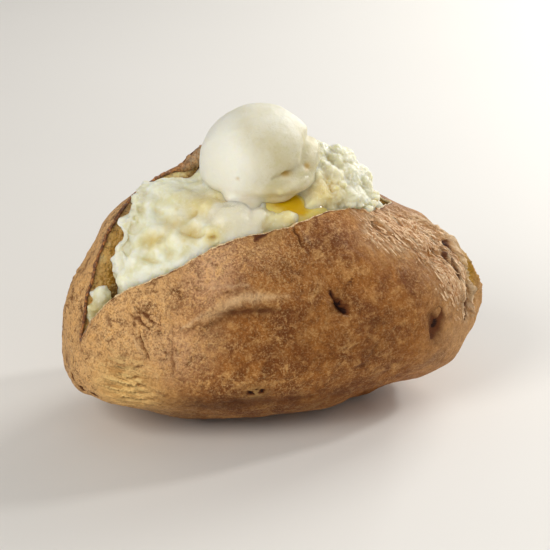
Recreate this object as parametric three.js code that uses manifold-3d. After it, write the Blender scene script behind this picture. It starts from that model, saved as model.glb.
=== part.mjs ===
// A baked russet potato, split along the top and squeezed open: the skin is a thin boat-shaped shell,
// the fluffed flesh fills it and heaps up in the opening, and a scoop of whipped butter sits on top.
// Millimetres, +Z up, the potato's long axis along X.

import * as THREE from 'three';
import { mergeVertices } from 'three/addons/utils/BufferGeometryUtils.js';
import Module from 'manifold-3d';

const { degToRad, euclideanModulo, smoothstep } = THREE.MathUtils;

// Potato body: half sizes about its centre, which lies CENTRE_HEIGHT above the table.
const HALF_LENGTH = 64.8;
const HALF_WIDTH = 40;
const CROWN_RISE = 44.5;
const BELLY_DROP = 32.6;
const CENTRE_HEIGHT = 31.3;
const SECTION_POWER = 2.1;

// How the body departs from an ellipsoid: t runs from -1 at the left end to 1 at the right end.
const CROWN_TAPER = [-0.33, -0.10];
const BELLY_TAPER = [0.24, -0.19];
const WIDTH_TAPER = [-0.055, -0.04];
const AXIS_CLIMB = [8.2, -5.6];
const AXIS_SWEEP = -2.9;
const CROWN_LEAN = 5.8;
const BACK_SHOULDER = { at: -0.2, spread: 0.55, rise: 3.0, out: 1.3 };

// Inner point that every wall is measured from, along straight lines.
const CORE = new THREE.Vector3(0, 0, 32.5);

// The opening: the direction it faces, and its rim as an angle from that direction.
const OPENING_AXIS = new THREE.Vector3(-0.25, -0.165, 0.95).normalize();
const TIP_TURN = 194.5;
const RIM = [
  [14, 57], [22, 56], [46, 48], [73, 42], [95, 36], [115, 32], [135, 29], [155, 27.5], [168, 28.5],
  [176, 31.5], [183, 37], [188, 43.5], [191.5, 50], [194.5, 58.5], [198, 54], [202, 50], [213, 43.5],
  [226, 40], [238, 37.6], [250, 34.2], [262, 32.6], [284, 32.4], [302, 34], [322, 35.5], [335, 39.5],
  [342, 44.5], [360, 50.5], [374, 57],
];
const BACK_FLAP = { turn: 80, spread: 14, rise: 5, reach: 10 };

// Walls and gaps.
const SKIN_THICKNESS = 2.4;
const LIP_ROUND = 0.45;
const LIP_BEVEL = 0.7;
const FLESH_GAP = 0.8;
const FLESH_INSET = 1.6;
const SCOOP_GAP = 0.5;

// Folds, dents and eyes of the skin: a raised or sunk mark along a line from one point to another.
const SKIN_MARKS = [
  { from: [-33.5, -34.5, 41], to: [-25, -34.9, 48], width: 3.2, rise: 1.1 },
  { from: [-25, -34.9, 48], to: [-5.4, -37.4, 47], width: 3.2, rise: 1.1 },
  { from: [-48.3, -27.8, 38.5], to: [-46, -30.9, 30.5], width: 3.5, rise: -1.2 },
  { from: [-39.5, -33.5, 35], to: [-39.6, -34.2, 28], width: 3.0, rise: -0.9 },
  { from: [10.3, -37.2, 45], to: [10.3, -37.2, 43], width: 3.4, rise: -1.6 },
  { from: [41.6, -31.1, 34], to: [41.6, -31.1, 30], width: 3.6, rise: -1.4 },
  { from: [58, -17, 41], to: [60, -17, 33], width: 5, rise: -1.8 },
  { from: [38, -12, 58], to: [55, -21, 40], width: 4, rise: 1.0 },
  { from: [46, -6, 54], to: [60, -11, 38], width: 4, rise: 1.0 },
  { from: [-55, 1.4, 55], to: [-50, 14, 50], width: 5, rise: -1.3 },
  { from: [25, -21, 3], to: [33, -18, 4], width: 8, rise: -4.0 },
  { from: [42, -16, 9], to: [48, -18, 14], width: 8, rise: 2.2 },
  { from: [-62, 7, 41], to: [-58, 9.5, 46.5], width: 5.5, rise: -2.0 },
  { from: [-59, -15, 12], to: [-50, -20, 11], width: 6, rise: -1.3 },
  { from: [-35, 16, 69.5], to: [-27, 19, 73], width: 8, rise: -1.8 },
  { from: [48, 4, 53], to: [52, 3, 50], width: 5, rise: 1.2 },
];

// The heap of flesh above and below the body's own surface, in the opening.
const MOUND = { x: 14, y: 3, spreadX: 15, spreadY: 15, rise: 8.8 };
const FRONT_SWELL = { x: 2, y: -17, spreadX: 24, spreadY: 10, rise: 1.5 };
const LEFT_CHUNK = { x: -53.5, y: -13, spreadX: 3.5, spreadY: 4.5, rise: 5 };
const LEFT_SLOPE = { start: 43.5, end: 50.5, slant: 0.29, drop: 9 };
const LEFT_MOUND = { x: -36, y: 3, spreadX: 9, spreadY: 9, rise: 3.2 };
const RIGHT_SLOPE = { start: 20, end: 36, drop: 2 };
const BACK_DIP = { x: -17, y: 9, spreadX: 15, spreadY: 16, rise: 9 };
const FLESH_LEVEL = -1.0;
const EDGE_LEVEL = -0.8;

// The gap between the heap and the skin, at the left end and along the back lip: it fades in and out
// between the turns given.
const LEFT_GAP = { depth: 8.5, setBack: 2.6, slope: 1.0, fadeIn: [110, 140], fadeOut: [200, 213] };
const BACK_GAP = { depth: 4.0, setBack: 0.0, slope: 2.5, fadeIn: [20, 60], fadeOut: [95, 125] };
const EDGE_START = 0.5;
const EDGE_SLOPE = 4.3;

// Lumps of fluffed flesh, spread over the opening by the golden angle.
const LUMP_COUNT = 170;
const GOLDEN_ANGLE = 137.508;
const LUMP_FIELD = 52;
const LUMP_RADIUS = [3.8, 8.2];
const LUMP_RISE = [1.0, 5.0];

// Butter scoop: a ball with a sunk flat underside, a groove and a soft skirt at its right front.
const SCOOP_CENTRE = new THREE.Vector3(-4.9, -2.8, 77.9);
const SCOOP_RADIUS = 17.3;
const SCOOP_DEPTH = 10.5;
const SKIRT = { height: -26, spread: 15, out: 1.9, turn: -50, behind: 0.6 };
const GROOVE = { height: -6, spread: 7, depth: 1.0 };

// Mesh density.
const COLUMNS = 80;
const OUTER_ROWS = 22;
const INNER_ROWS = 9;
const HEAP_ROWS = 32;
const SCOOP_COLUMNS = 40;
const SCOOP_ROWS = 20;
const FULL_TURN = 360;
const HALF_TURN = 180;

const openingRight = new THREE.Vector3(1, 0, 0).projectOnPlane(OPENING_AXIS).normalize();
const openingBack = new THREE.Vector3().crossVectors(OPENING_AXIS, openingRight);

function bell(value, centre, spread) {
  return Math.exp(-(((value - centre) / spread) ** 2));
}

function polynomial([linear, square], t) {
  return linear * t + square * t * t;
}

function mix(low, high, share) {
  return low + (high - low) * share;
}

// A number from 0 to 1 that looks random but is always the same for the same index and salt.
function scatter(index, salt) {
  return euclideanModulo(Math.sin(index * 12.9898 + salt) * 43758.5453, 1);
}

// Unit direction at a turn about the opening's axis and an angle away from that axis.
function direction(turn, angle) {
  const across = Math.sin(degToRad(angle));
  return new THREE.Vector3()
    .addScaledVector(OPENING_AXIS, Math.cos(degToRad(angle)))
    .addScaledVector(openingRight, across * Math.cos(degToRad(turn)))
    .addScaledVector(openingBack, across * Math.sin(degToRad(turn)));
}

// Slope of the rim table at one of its points, from the points on either side.
function rimSlope(index) {
  const before = RIM[Math.max(index - 1, 0)];
  const after = RIM[Math.min(index + 1, RIM.length - 1)];
  return (after[1] - before[1]) / (after[0] - before[0]);
}

// The rim's angle at a turn: a smooth curve through the points of RIM.
function rimAngle(turn) {
  const start = RIM[0][0];
  const at = start + euclideanModulo(turn - start, FULL_TURN);
  const next = Math.max(1, RIM.findIndex(([pointTurn]) => pointTurn >= at));
  const [turn0, angle0] = RIM[next - 1];
  const [turn1, angle1] = RIM[next];
  const span = turn1 - turn0;
  const s = (at - turn0) / span;
  const bend0 = rimSlope(next - 1) * span;
  const bend1 = rimSlope(next) * span;
  return angle0 * (2 * s ** 3 - 3 * s ** 2 + 1) + bend0 * (s ** 3 - 2 * s ** 2 + s)
    + angle1 * (3 * s ** 2 - 2 * s ** 3) + bend1 * (s ** 3 - s ** 2);
}

// Smooth potato surface, before its marks.
function bodyPoint(turn, angle) {
  const d = direction(turn, angle);
  const side = Math.hypot(d.y, d.z);
  const reach = (Math.abs(d.x) ** SECTION_POWER + side ** SECTION_POWER) ** (-1 / SECTION_POWER);
  const t = reach * d.x;
  const across = reach * d.y;
  const up = reach * d.z;
  const crown = CROWN_RISE * (1 + polynomial(CROWN_TAPER, t));
  const belly = BELLY_DROP * (1 + polynomial(BELLY_TAPER, t));
  const shoulder = bell(t, BACK_SHOULDER.at, BACK_SHOULDER.spread)
    * smoothstep(across, -0.1, 0.75) * smoothstep(up, -0.1, 0.7);
  return new THREE.Vector3(
    HALF_LENGTH * t - CROWN_LEAN * up,
    HALF_WIDTH * across * (1 + polynomial(WIDTH_TAPER, t)) + AXIS_SWEEP * t * t
      + BACK_SHOULDER.out * shoulder,
    up * mix(belly, crown, smoothstep(up, -0.5, 0.5)) + CENTRE_HEIGHT + polynomial(AXIS_CLIMB, t)
      + BACK_SHOULDER.rise * shoulder,
  );
}

// Gentle unevenness that every real potato has.
function unevenness({ x, y, z }) {
  return 0.7 * Math.sin(0.11 * x + 0.09 * z + 1.3) * Math.sin(0.13 * y - 0.07 * z + 0.4)
    + 0.4 * Math.sin(0.23 * x - 0.17 * y + 2.1) * Math.sin(0.19 * z + 0.21 * y + 0.7);
}

const markLines = SKIN_MARKS.map(({ from, to, width, rise }) => ({
  line: new THREE.Line3(new THREE.Vector3(...from), new THREE.Vector3(...to)),
  width,
  rise,
}));

function markRise(point) {
  const nearest = new THREE.Vector3();
  let total = 0;
  for (const { line, width, rise } of markLines) {
    line.closestPointToPoint(point, true, nearest);
    total += rise * bell(point.distanceTo(nearest), 0, width);
  }
  return total;
}

// The back lip stands up highest near the middle of the opening.
function flapRise(turn, angle) {
  const fromRim = Math.max(angle - rimAngle(turn), 0);
  return BACK_FLAP.rise * bell(euclideanModulo(turn, FULL_TURN), BACK_FLAP.turn, BACK_FLAP.spread)
    * bell(fromRim, 0, BACK_FLAP.reach);
}

// A point that many millimetres outside (or, if negative, inside) the skin's outer face.
function wallPoint(turn, angle, offset) {
  const point = bodyPoint(turn, angle);
  const relief = unevenness(point) + markRise(point);
  const fromCore = point.clone().sub(CORE);
  const length = fromCore.length() + flapRise(turn, angle) + relief + offset;
  return fromCore.setLength(length).add(CORE);
}

// Two triangles for a four-cornered patch, split along its shorter diagonal.
function splitPatch(points, a, b, c, d) {
  const alongAC = points[a].distanceToSquared(points[c]) < points[b].distanceToSquared(points[d]);
  return alongAC ? [a, b, c, a, c, d] : [a, b, d, b, c, d];
}

// A closed solid from a first pole, rings of points and a last pole.
function ringedSolid(firstPole, rings, lastPole) {
  const count = rings[0].length;
  const points = [firstPole, ...rings.flat(), lastPole];
  const last = points.length - 1;
  const index = [];
  for (let column = 0; column < count; column += 1) {
    const next = (column + 1) % count;
    index.push(0, 1 + column, 1 + next);
    for (let ring = 0; ring < rings.length - 1; ring += 1) {
      const here = 1 + ring * count;
      const below = here + count;
      index.push(...splitPatch(points, here + column, below + column, below + next, here + next));
    }
    const end = last - count;
    index.push(end + column, last, end + next);
  }
  const geometry = new THREE.BufferGeometry().setFromPoints(points);
  geometry.setIndex(index);
  return geometry;
}

function columnTurns() {
  return Array.from({ length: COLUMNS }, (_, column) => TIP_TURN + (column * FULL_TURN) / COLUMNS);
}

// One ring round the opening: its angle and offset follow from each column's turn and rim angle.
function wallRing(angleOf, offsetOf) {
  return columnTurns().map((turn) => {
    const angle = angleOf(rimAngle(turn));
    return wallPoint(turn, angle, offsetOf(turn, angle));
  });
}

// Rings from the rim down to the bottom pole, closer together near the rim.
function rowsBelowRim(rows, start, offset) {
  return Array.from({ length: rows }, (_, row) => {
    const share = (row / rows) ** 1.15;
    return wallRing((rim) => mix(rim + start, HALF_TURN, share), () => offset);
  });
}

// The skin rests on a small flat spot.
function flattenFoot(rings) {
  for (const point of rings.flat()) {
    point.z = Math.max(point.z, 0);
  }
  return rings;
}

function makeSkin() {
  const inside = rowsBelowRim(INNER_ROWS, LIP_BEVEL, -SKIN_THICKNESS).reverse();
  const lip = [
    wallRing((rim) => rim, () => LIP_ROUND - SKIN_THICKNESS),
    wallRing((rim) => rim, () => -LIP_ROUND),
  ];
  const outside = flattenFoot(rowsBelowRim(OUTER_ROWS, LIP_BEVEL, 0));
  const outerPole = wallPoint(0, HALF_TURN, 0);
  outerPole.z = Math.max(outerPole.z, 0);
  const innerPole = wallPoint(0, HALF_TURN, -SKIN_THICKNESS);
  return ringedSolid(innerPole, [...inside, ...lip, ...outside], outerPole);
}

// A smooth rounded rise, seen from above.
function hill(form, x, y) {
  return form.rise * bell(x, form.x, form.spreadX) * bell(y, form.y, form.spreadY);
}

// How fully a gap is open at a turn, from 0 to 1.
function gapShare(gap, turn) {
  const at = euclideanModulo(turn, FULL_TURN);
  return smoothstep(at, ...gap.fadeIn) * (1 - smoothstep(at, ...gap.fadeOut));
}

// How far the flesh's top lies above the potato's own surface.
function fleshLevel(turn, angle) {
  const { x, y } = bodyPoint(turn, angle);
  const swells = hill(MOUND, x, y) + hill(LEFT_MOUND, x, y) + hill(LEFT_CHUNK, x, y)
    + hill(FRONT_SWELL, x, y) - hill(BACK_DIP, x, y);
  const left = LEFT_SLOPE.drop * smoothstep(LEFT_SLOPE.slant * y - x, LEFT_SLOPE.start, LEFT_SLOPE.end);
  const right = RIGHT_SLOPE.drop * smoothstep(x, RIGHT_SLOPE.start, RIGHT_SLOPE.end);
  const leftShare = gapShare(LEFT_GAP, turn);
  const backShare = gapShare(BACK_GAP, turn);
  const edge = EDGE_LEVEL - LEFT_GAP.depth * leftShare - BACK_GAP.depth * backShare;
  const start = EDGE_START + LEFT_GAP.setBack * leftShare + BACK_GAP.setBack * backShare;
  const end = start + EDGE_SLOPE + LEFT_GAP.slope * leftShare + BACK_GAP.slope * backShare;
  const heap = FLESH_LEVEL + swells - left - right;
  return mix(edge, heap, smoothstep(rimAngle(turn) - angle, start, end));
}

const lumps = Array.from({ length: LUMP_COUNT }, (_, index) => {
  const turn = index * GOLDEN_ANGLE;
  const angle = LUMP_FIELD * Math.sqrt((index + 0.5) / LUMP_COUNT);
  return {
    centre: bodyPoint(turn, angle),
    radius: mix(...LUMP_RADIUS, scatter(index, 1)),
    rise: mix(...LUMP_RISE, scatter(index, 2)),
  };
});

// Height of the tallest lump at a place on the heap, between deep clefts.
function lumpRise(point) {
  let highest = 0;
  for (const { centre, radius, rise } of lumps) {
    const share = point.distanceTo(centre) / radius;
    highest = Math.max(highest, rise * (1 - share * share));
  }
  return highest;
}

function fleshOffset(turn, angle) {
  const fromRim = rimAngle(turn) - angle;
  const fade = smoothstep(fromRim, FLESH_INSET, 3 * FLESH_INSET);
  return fleshLevel(turn, angle) + fade * (lumpRise(bodyPoint(turn, angle)) - LUMP_RISE[0]);
}

function makeHeap() {
  const buried = -(SKIN_THICKNESS + FLESH_GAP);
  const top = Array.from({ length: HEAP_ROWS }, (_, row) => {
    const share = (row + 1) / HEAP_ROWS;
    return wallRing((rim) => (rim - FLESH_INSET) * share, fleshOffset);
  });
  const neck = wallRing((rim) => rim - FLESH_INSET / 2, () => buried);
  const fill = rowsBelowRim(INNER_ROWS, LIP_BEVEL, buried);
  const crest = wallPoint(0, 0, fleshOffset(0, 0));
  const bottom = wallPoint(0, HALF_TURN, buried);
  return ringedSolid(crest, [...top, neck, ...fill], bottom);
}

// Scoop surface at a turn about Z and a height angle above its widest level.
function scoopPoint(turn, height, gap) {
  const facing = 0.5 + 0.5 * Math.cos(degToRad(turn - SKIRT.turn));
  const skirt = SKIRT.out * bell(height, SKIRT.height, SKIRT.spread) * mix(SKIRT.behind, 1, facing);
  const groove = GROOVE.depth * bell(height, GROOVE.height, GROOVE.spread) * facing ** 3;
  const swell = 0.35 * Math.sin(degToRad(2 * turn + 40)) * Math.cos(degToRad(height));
  const radius = SCOOP_RADIUS + skirt - groove + swell;
  const level = Math.cos(degToRad(height));
  const rise = Math.sin(degToRad(height));
  const drop = rise < 0 ? SCOOP_DEPTH : radius;
  return new THREE.Vector3(
    (radius + gap) * level * Math.cos(degToRad(turn)),
    (radius + gap) * level * Math.sin(degToRad(turn)),
    (drop + gap) * rise,
  ).add(SCOOP_CENTRE);
}

function makeScoop(gap) {
  const rings = Array.from({ length: SCOOP_ROWS - 1 }, (_, row) => {
    const height = 90 - ((row + 1) * HALF_TURN) / SCOOP_ROWS;
    return Array.from(
      { length: SCOOP_COLUMNS },
      (_unused, column) => scoopPoint((column * FULL_TURN) / SCOOP_COLUMNS, height, gap),
    );
  });
  return ringedSolid(scoopPoint(0, 90, gap), rings, scoopPoint(0, -90, gap));
}

const wasm = await Module();
wasm.setup();

function toManifold(geometry) {
  const bare = geometry.clone();
  bare.deleteAttribute('normal');
  bare.deleteAttribute('uv');
  const merged = mergeVertices(bare);
  return new wasm.Manifold(new wasm.Mesh({
    numProp: 3,
    vertProperties: new Float32Array(merged.attributes.position.array),
    triVerts: new Uint32Array(merged.index.array),
  }));
}

function fromManifold(solid) {
  const { vertProperties, triVerts } = solid.getMesh();
  const geometry = new THREE.BufferGeometry();
  geometry.setAttribute('position', new THREE.BufferAttribute(vertProperties, 3));
  geometry.setIndex(new THREE.BufferAttribute(triVerts, 1));
  return geometry;
}

// The flesh has a hollow where the scoop sits in it.
function makeFlesh() {
  const heap = toManifold(makeHeap());
  const seat = toManifold(makeScoop(SCOOP_GAP));
  return fromManifold(heap.subtract(seat));
}

function finish(colour, roughness) {
  return new THREE.MeshStandardMaterial({ color: colour, roughness, metalness: 0 });
}

function namedMesh(name, geometry, material) {
  geometry.computeVertexNormals();
  const mesh = new THREE.Mesh(geometry, material);
  mesh.name = name;
  return mesh;
}

const bakedPotato = new THREE.Group();
bakedPotato.add(namedMesh('skin', makeSkin(), finish(0xa5784b, 0.75)));
bakedPotato.add(namedMesh('flesh', makeFlesh(), finish(0xe4e2c4, 0.6)));
bakedPotato.add(namedMesh('butter_scoop', makeScoop(0), finish(0xe9e2c0, 0.35)));

// The origin is at the middle of the underside.
const box = new THREE.Box3().setFromObject(bakedPotato, true);
const middle = box.getCenter(new THREE.Vector3());
bakedPotato.position.set(-middle.x, -middle.y, -box.min.z);
bakedPotato.updateMatrixWorld(true);

export default bakedPotato;
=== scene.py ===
# A baked russet potato, split along the top and squeezed open, with its fluffed flesh heaped in the
# opening and a scoop of whipped butter melting on it. Shapes are worked out in millimetres, in the
# frame's own axes, and become metres when a mesh is made.
from collections import namedtuple

import bmesh
import bpy
import numpy as np
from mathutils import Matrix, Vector


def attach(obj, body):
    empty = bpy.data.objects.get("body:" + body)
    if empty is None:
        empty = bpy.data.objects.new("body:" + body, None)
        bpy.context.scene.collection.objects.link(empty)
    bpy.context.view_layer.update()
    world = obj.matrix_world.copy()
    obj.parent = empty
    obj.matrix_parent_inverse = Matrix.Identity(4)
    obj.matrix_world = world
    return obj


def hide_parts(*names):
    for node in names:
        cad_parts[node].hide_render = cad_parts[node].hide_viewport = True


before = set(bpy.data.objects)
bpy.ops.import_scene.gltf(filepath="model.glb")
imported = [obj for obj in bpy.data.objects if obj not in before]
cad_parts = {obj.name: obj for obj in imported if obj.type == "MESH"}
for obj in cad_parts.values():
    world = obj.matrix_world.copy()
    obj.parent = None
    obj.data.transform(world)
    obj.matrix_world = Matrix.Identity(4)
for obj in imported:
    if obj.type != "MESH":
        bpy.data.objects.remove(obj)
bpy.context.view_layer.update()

MM = 0.001
FULL_TURN = 360.0
HALF_TURN = 180.0
random = np.random.default_rng(20)

# Potato body: half sizes about its centre, which lies CENTRE_HEIGHT above the table.
HALF_LENGTH = 64.8
HALF_WIDTH = 40.0
CROWN_RISE = 44.5
BELLY_DROP = 32.6
CENTRE_HEIGHT = 31.3
SECTION_POWER = 2.1
CROWN_TAPER = (-0.33, -0.10)
BELLY_TAPER = (0.24, -0.19)
WIDTH_TAPER = (-0.055, -0.04)
AXIS_CLIMB = (8.2, -5.6)
AXIS_SWEEP = -2.9
CROWN_LEAN = 5.8
SHOULDER_AT, SHOULDER_SPREAD, SHOULDER_RISE, SHOULDER_OUT = -0.2, 0.55, 3.0, 1.3
CORE = np.array([0.0, 0.0, 32.5])

# The opening: the direction it faces, and its rim as an angle from that direction.
OPENING_AXIS = np.array([-0.25, -0.165, 0.95])
OPENING_AXIS /= np.linalg.norm(OPENING_AXIS)
OPENING_RIGHT = np.array([1.0, 0.0, 0.0]) - OPENING_AXIS * OPENING_AXIS[0]
OPENING_RIGHT /= np.linalg.norm(OPENING_RIGHT)
OPENING_BACK = np.cross(OPENING_AXIS, OPENING_RIGHT)
TIP_TURN = 194.5
RIM = np.array([
    (14, 57), (22, 56), (46, 48), (73, 42), (95, 36), (115, 32), (135, 29), (155, 27.5), (168, 28.5),
    (176, 31.5), (183, 37), (188, 43.5), (191.5, 50), (194.5, 58.5), (198, 54), (202, 50), (213, 43.5),
    (226, 40), (238, 37.6), (250, 34.2), (262, 32.6), (284, 32.4), (302, 34), (322, 35.5), (335, 39.5),
    (342, 44.5), (360, 50.5), (374, 57),
])
FLAP_TURN, FLAP_SPREAD, FLAP_RISE, FLAP_REACH = 80.0, 14.0, 5.0, 10.0
RIM_RAGGED = 0.55

# Layers of the skin, from its outer face inwards.
PEEL = 0.7
LINING_FROM, LINING_TO = 0.75, 2.5


# ---------------------------------------------------------------------------- numbers and noise

def smoothstep(value, low, high):
    share = np.clip((value - low) / (high - low), 0, 1)
    return share * share * (3 - 2 * share)


def bell(value, centre, spread):
    return np.exp(-(((value - centre) / spread) ** 2))


def blob(points, centre, spread):
    """1 at centre, falling off with distance."""
    return bell(np.linalg.norm((points - centre) / spread, axis=-1), 0, 1)


def blobs(points, rows):
    """The sum of blobs, each with its own strength, centre and spread."""
    return sum(strength * blob(points, centre, spread) for strength, centre, spread in rows)


def polynomial(pair, t):
    return pair[0] * t + pair[1] * t * t


def mix(low, high, share):
    return low + (high - low) * share


def unit(vectors):
    return vectors / np.linalg.norm(vectors, axis=-1, keepdims=True)


SCATTER_STEP, SCATTER_SCALE = 12.9898, 43758.5453


def scatter(index, salt):
    """A number from 0 to 1 that looks random but is always the same for the same index and salt."""
    return np.mod(np.sin(index * SCATTER_STEP + salt) * SCATTER_SCALE, 1)


GRADIENTS = np.array([
    (1, 1, 0), (-1, 1, 0), (1, -1, 0), (-1, -1, 0), (1, 0, 1), (-1, 0, 1),
    (1, 0, -1), (-1, 0, -1), (0, 1, 1), (0, -1, 1), (0, 1, -1), (0, -1, -1),
], dtype=float)
CELL_FACTORS = (73856093, 19349663, 83492791)
SEED_FACTOR, SEED_SHIFT = 40503, 7919
STIRS = ((15, 0x2C1B3C6D), (12, 0x297A2D39))
LOW_BITS = 0xFFFFFFFF


def hashed(cell, seed):
    """A whole number that looks random, for each whole-number cell."""
    mixed = np.bitwise_xor.reduce(cell * CELL_FACTORS, axis=-1)
    mixed = (mixed ^ (seed * SEED_FACTOR + SEED_SHIFT)) & LOW_BITS
    for shift, factor in STIRS:
        mixed = ((mixed ^ (mixed >> shift)) * factor) & LOW_BITS
    return mixed ^ (mixed >> STIRS[0][0])


def noise(points, size, seed):
    """Gradient noise from about -1 to 1, with features of that size."""
    scaled = points / size
    cell = np.floor(scaled).astype(np.int64)
    offset = scaled - cell
    fade = offset ** 3 * (offset * (offset * 6 - 15) + 10)
    total = np.zeros(points.shape[:-1])
    for corner in np.array(list(np.ndindex(2, 2, 2))):
        gradient = GRADIENTS[hashed(cell + corner, seed) % len(GRADIENTS)]
        share = np.prod(np.where(corner == 1, fade, 1 - fade), axis=-1)
        total += share * np.sum(gradient * (offset - corner), axis=-1)
    return total


def layered(points, rows):
    """The sum of noises, each with its own height, size and seed."""
    return sum(height * noise(points, size, seed) for height, size, seed in rows)


def fractal(points, size, seed):
    """Noise with two finer ones on it, each half as large and half as high as the last."""
    return layered(points, [(0.5 ** octave, size / 2 ** octave, seed + 31 * octave) for octave in range(3)])


def warped(points, size, amount, seed):
    """Points pushed about by noise, so that what is drawn from them meanders."""
    return points + amount * np.stack([noise(points, size, seed + axis) for axis in range(3)], axis=-1)


# ---------------------------------------------------------------------------- potato body

def direction(turn, angle):
    """Unit direction at a turn about the opening's axis and an angle away from that axis."""
    turn = np.radians(turn)[..., None]
    angle = np.radians(angle)[..., None]
    around = np.cos(turn) * OPENING_RIGHT + np.sin(turn) * OPENING_BACK
    return np.cos(angle) * OPENING_AXIS + np.sin(angle) * around


def rim_angle(turn):
    """The rim's angle at a turn: a smooth curve through the points of RIM."""
    turns, angles = RIM[:, 0], RIM[:, 1]
    at = turns[0] + np.mod(turn - turns[0], FULL_TURN)
    slopes = np.empty(len(RIM))
    slopes[1:-1] = (angles[2:] - angles[:-2]) / (turns[2:] - turns[:-2])
    slopes[0] = (angles[1] - angles[0]) / (turns[1] - turns[0])
    slopes[-1] = (angles[-1] - angles[-2]) / (turns[-1] - turns[-2])
    index = np.clip(np.searchsorted(turns, at, side="right") - 1, 0, len(RIM) - 2)
    span = turns[index + 1] - turns[index]
    s = (at - turns[index]) / span
    return (
        angles[index] * (2 * s ** 3 - 3 * s ** 2 + 1)
        + slopes[index] * span * (s ** 3 - 2 * s ** 2 + s)
        + angles[index + 1] * (3 * s ** 2 - 2 * s ** 3)
        + slopes[index + 1] * span * (s ** 3 - s ** 2)
    )


def body_point(turn, angle):
    """Smooth potato surface, before its marks."""
    d = direction(turn, angle)
    side = np.hypot(d[..., 1], d[..., 2])
    reach = (np.abs(d[..., 0]) ** SECTION_POWER + side ** SECTION_POWER) ** (-1 / SECTION_POWER)
    t = reach * d[..., 0]
    across = reach * d[..., 1]
    up = reach * d[..., 2]
    crown = CROWN_RISE * (1 + polynomial(CROWN_TAPER, t))
    belly = BELLY_DROP * (1 + polynomial(BELLY_TAPER, t))
    shoulder = bell(t, SHOULDER_AT, SHOULDER_SPREAD)
    shoulder = shoulder * smoothstep(across, -0.1, 0.75) * smoothstep(up, -0.1, 0.7)
    x = HALF_LENGTH * t - CROWN_LEAN * up
    y = HALF_WIDTH * across * (1 + polynomial(WIDTH_TAPER, t)) + AXIS_SWEEP * t * t
    z = up * mix(belly, crown, smoothstep(up, -0.5, 0.5)) + CENTRE_HEIGHT + polynomial(AXIS_CLIMB, t)
    return np.stack([x, y + SHOULDER_OUT * shoulder, z + SHOULDER_RISE * shoulder], axis=-1)


def unevenness(points):
    """Slow swells and hollows that keep the body from being too even."""
    x, y, z = points[..., 0], points[..., 1], points[..., 2]
    return (
        0.7 * np.sin(0.11 * x + 0.09 * z + 1.3) * np.sin(0.13 * y - 0.07 * z + 0.4)
        + 0.4 * np.sin(0.23 * x - 0.17 * y + 2.1) * np.sin(0.19 * z + 0.21 * y + 0.7)
    )


# A line along the skin: its points, width and rise, and its tone, which is above 0 where it is dark,
# scorched in the eyes and painted shade in the creases and crevices, and below 0 where it is a painted
# highlight on a raised ridge.
Mark = namedtuple("Mark", "points width rise tone", defaults=(0.0, 0.0))

# Broad folds and dents of the skin.
BROAD_MARKS = [Mark(*row) for row in (
    ([(-33.5, -34.5, 41), (-25, -34.9, 48)], 3.2, 1.1),
    ([(-25, -34.9, 48), (-5.4, -37.4, 47)], 3.2, 1.1),
    ([(-48.3, -27.8, 38.5), (-46, -30.9, 30.5)], 3.5, -1.2),
    ([(-39.5, -33.5, 35), (-39.6, -34.2, 28)], 3, -0.9),
    ([(10.3, -37.2, 45), (10.3, -37.2, 43)], 3.4, -1.6),
    ([(41.6, -31.1, 34), (41.6, -31.1, 30)], 3.6, -1.4),
    ([(58, -17, 41), (60, -17, 33)], 5, -1.8),
    ([(38, -12, 58), (55, -21, 40)], 4, 1),
    ([(46, -6, 54), (60, -11, 38)], 4, 1),
    ([(-55, 1.4, 55), (-50, 14, 50)], 5, -1.3),
    ([(25, -21, 3), (33, -18, 4)], 8, -4),
    ([(42, -16, 9), (48, -18, 14)], 8, 2.2),
    ([(-62, 7, 41), (-58, 9.5, 46.5)], 5.5, -2),
    ([(-59, -15, 12), (-50, -20, 11)], 6, -1.3),
    ([(-35, 16, 69.5), (-27, 19, 73)], 8, -1.8),
    ([(48, 4, 53), (52, 3, 50)], 5, 1.2),
)]

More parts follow.
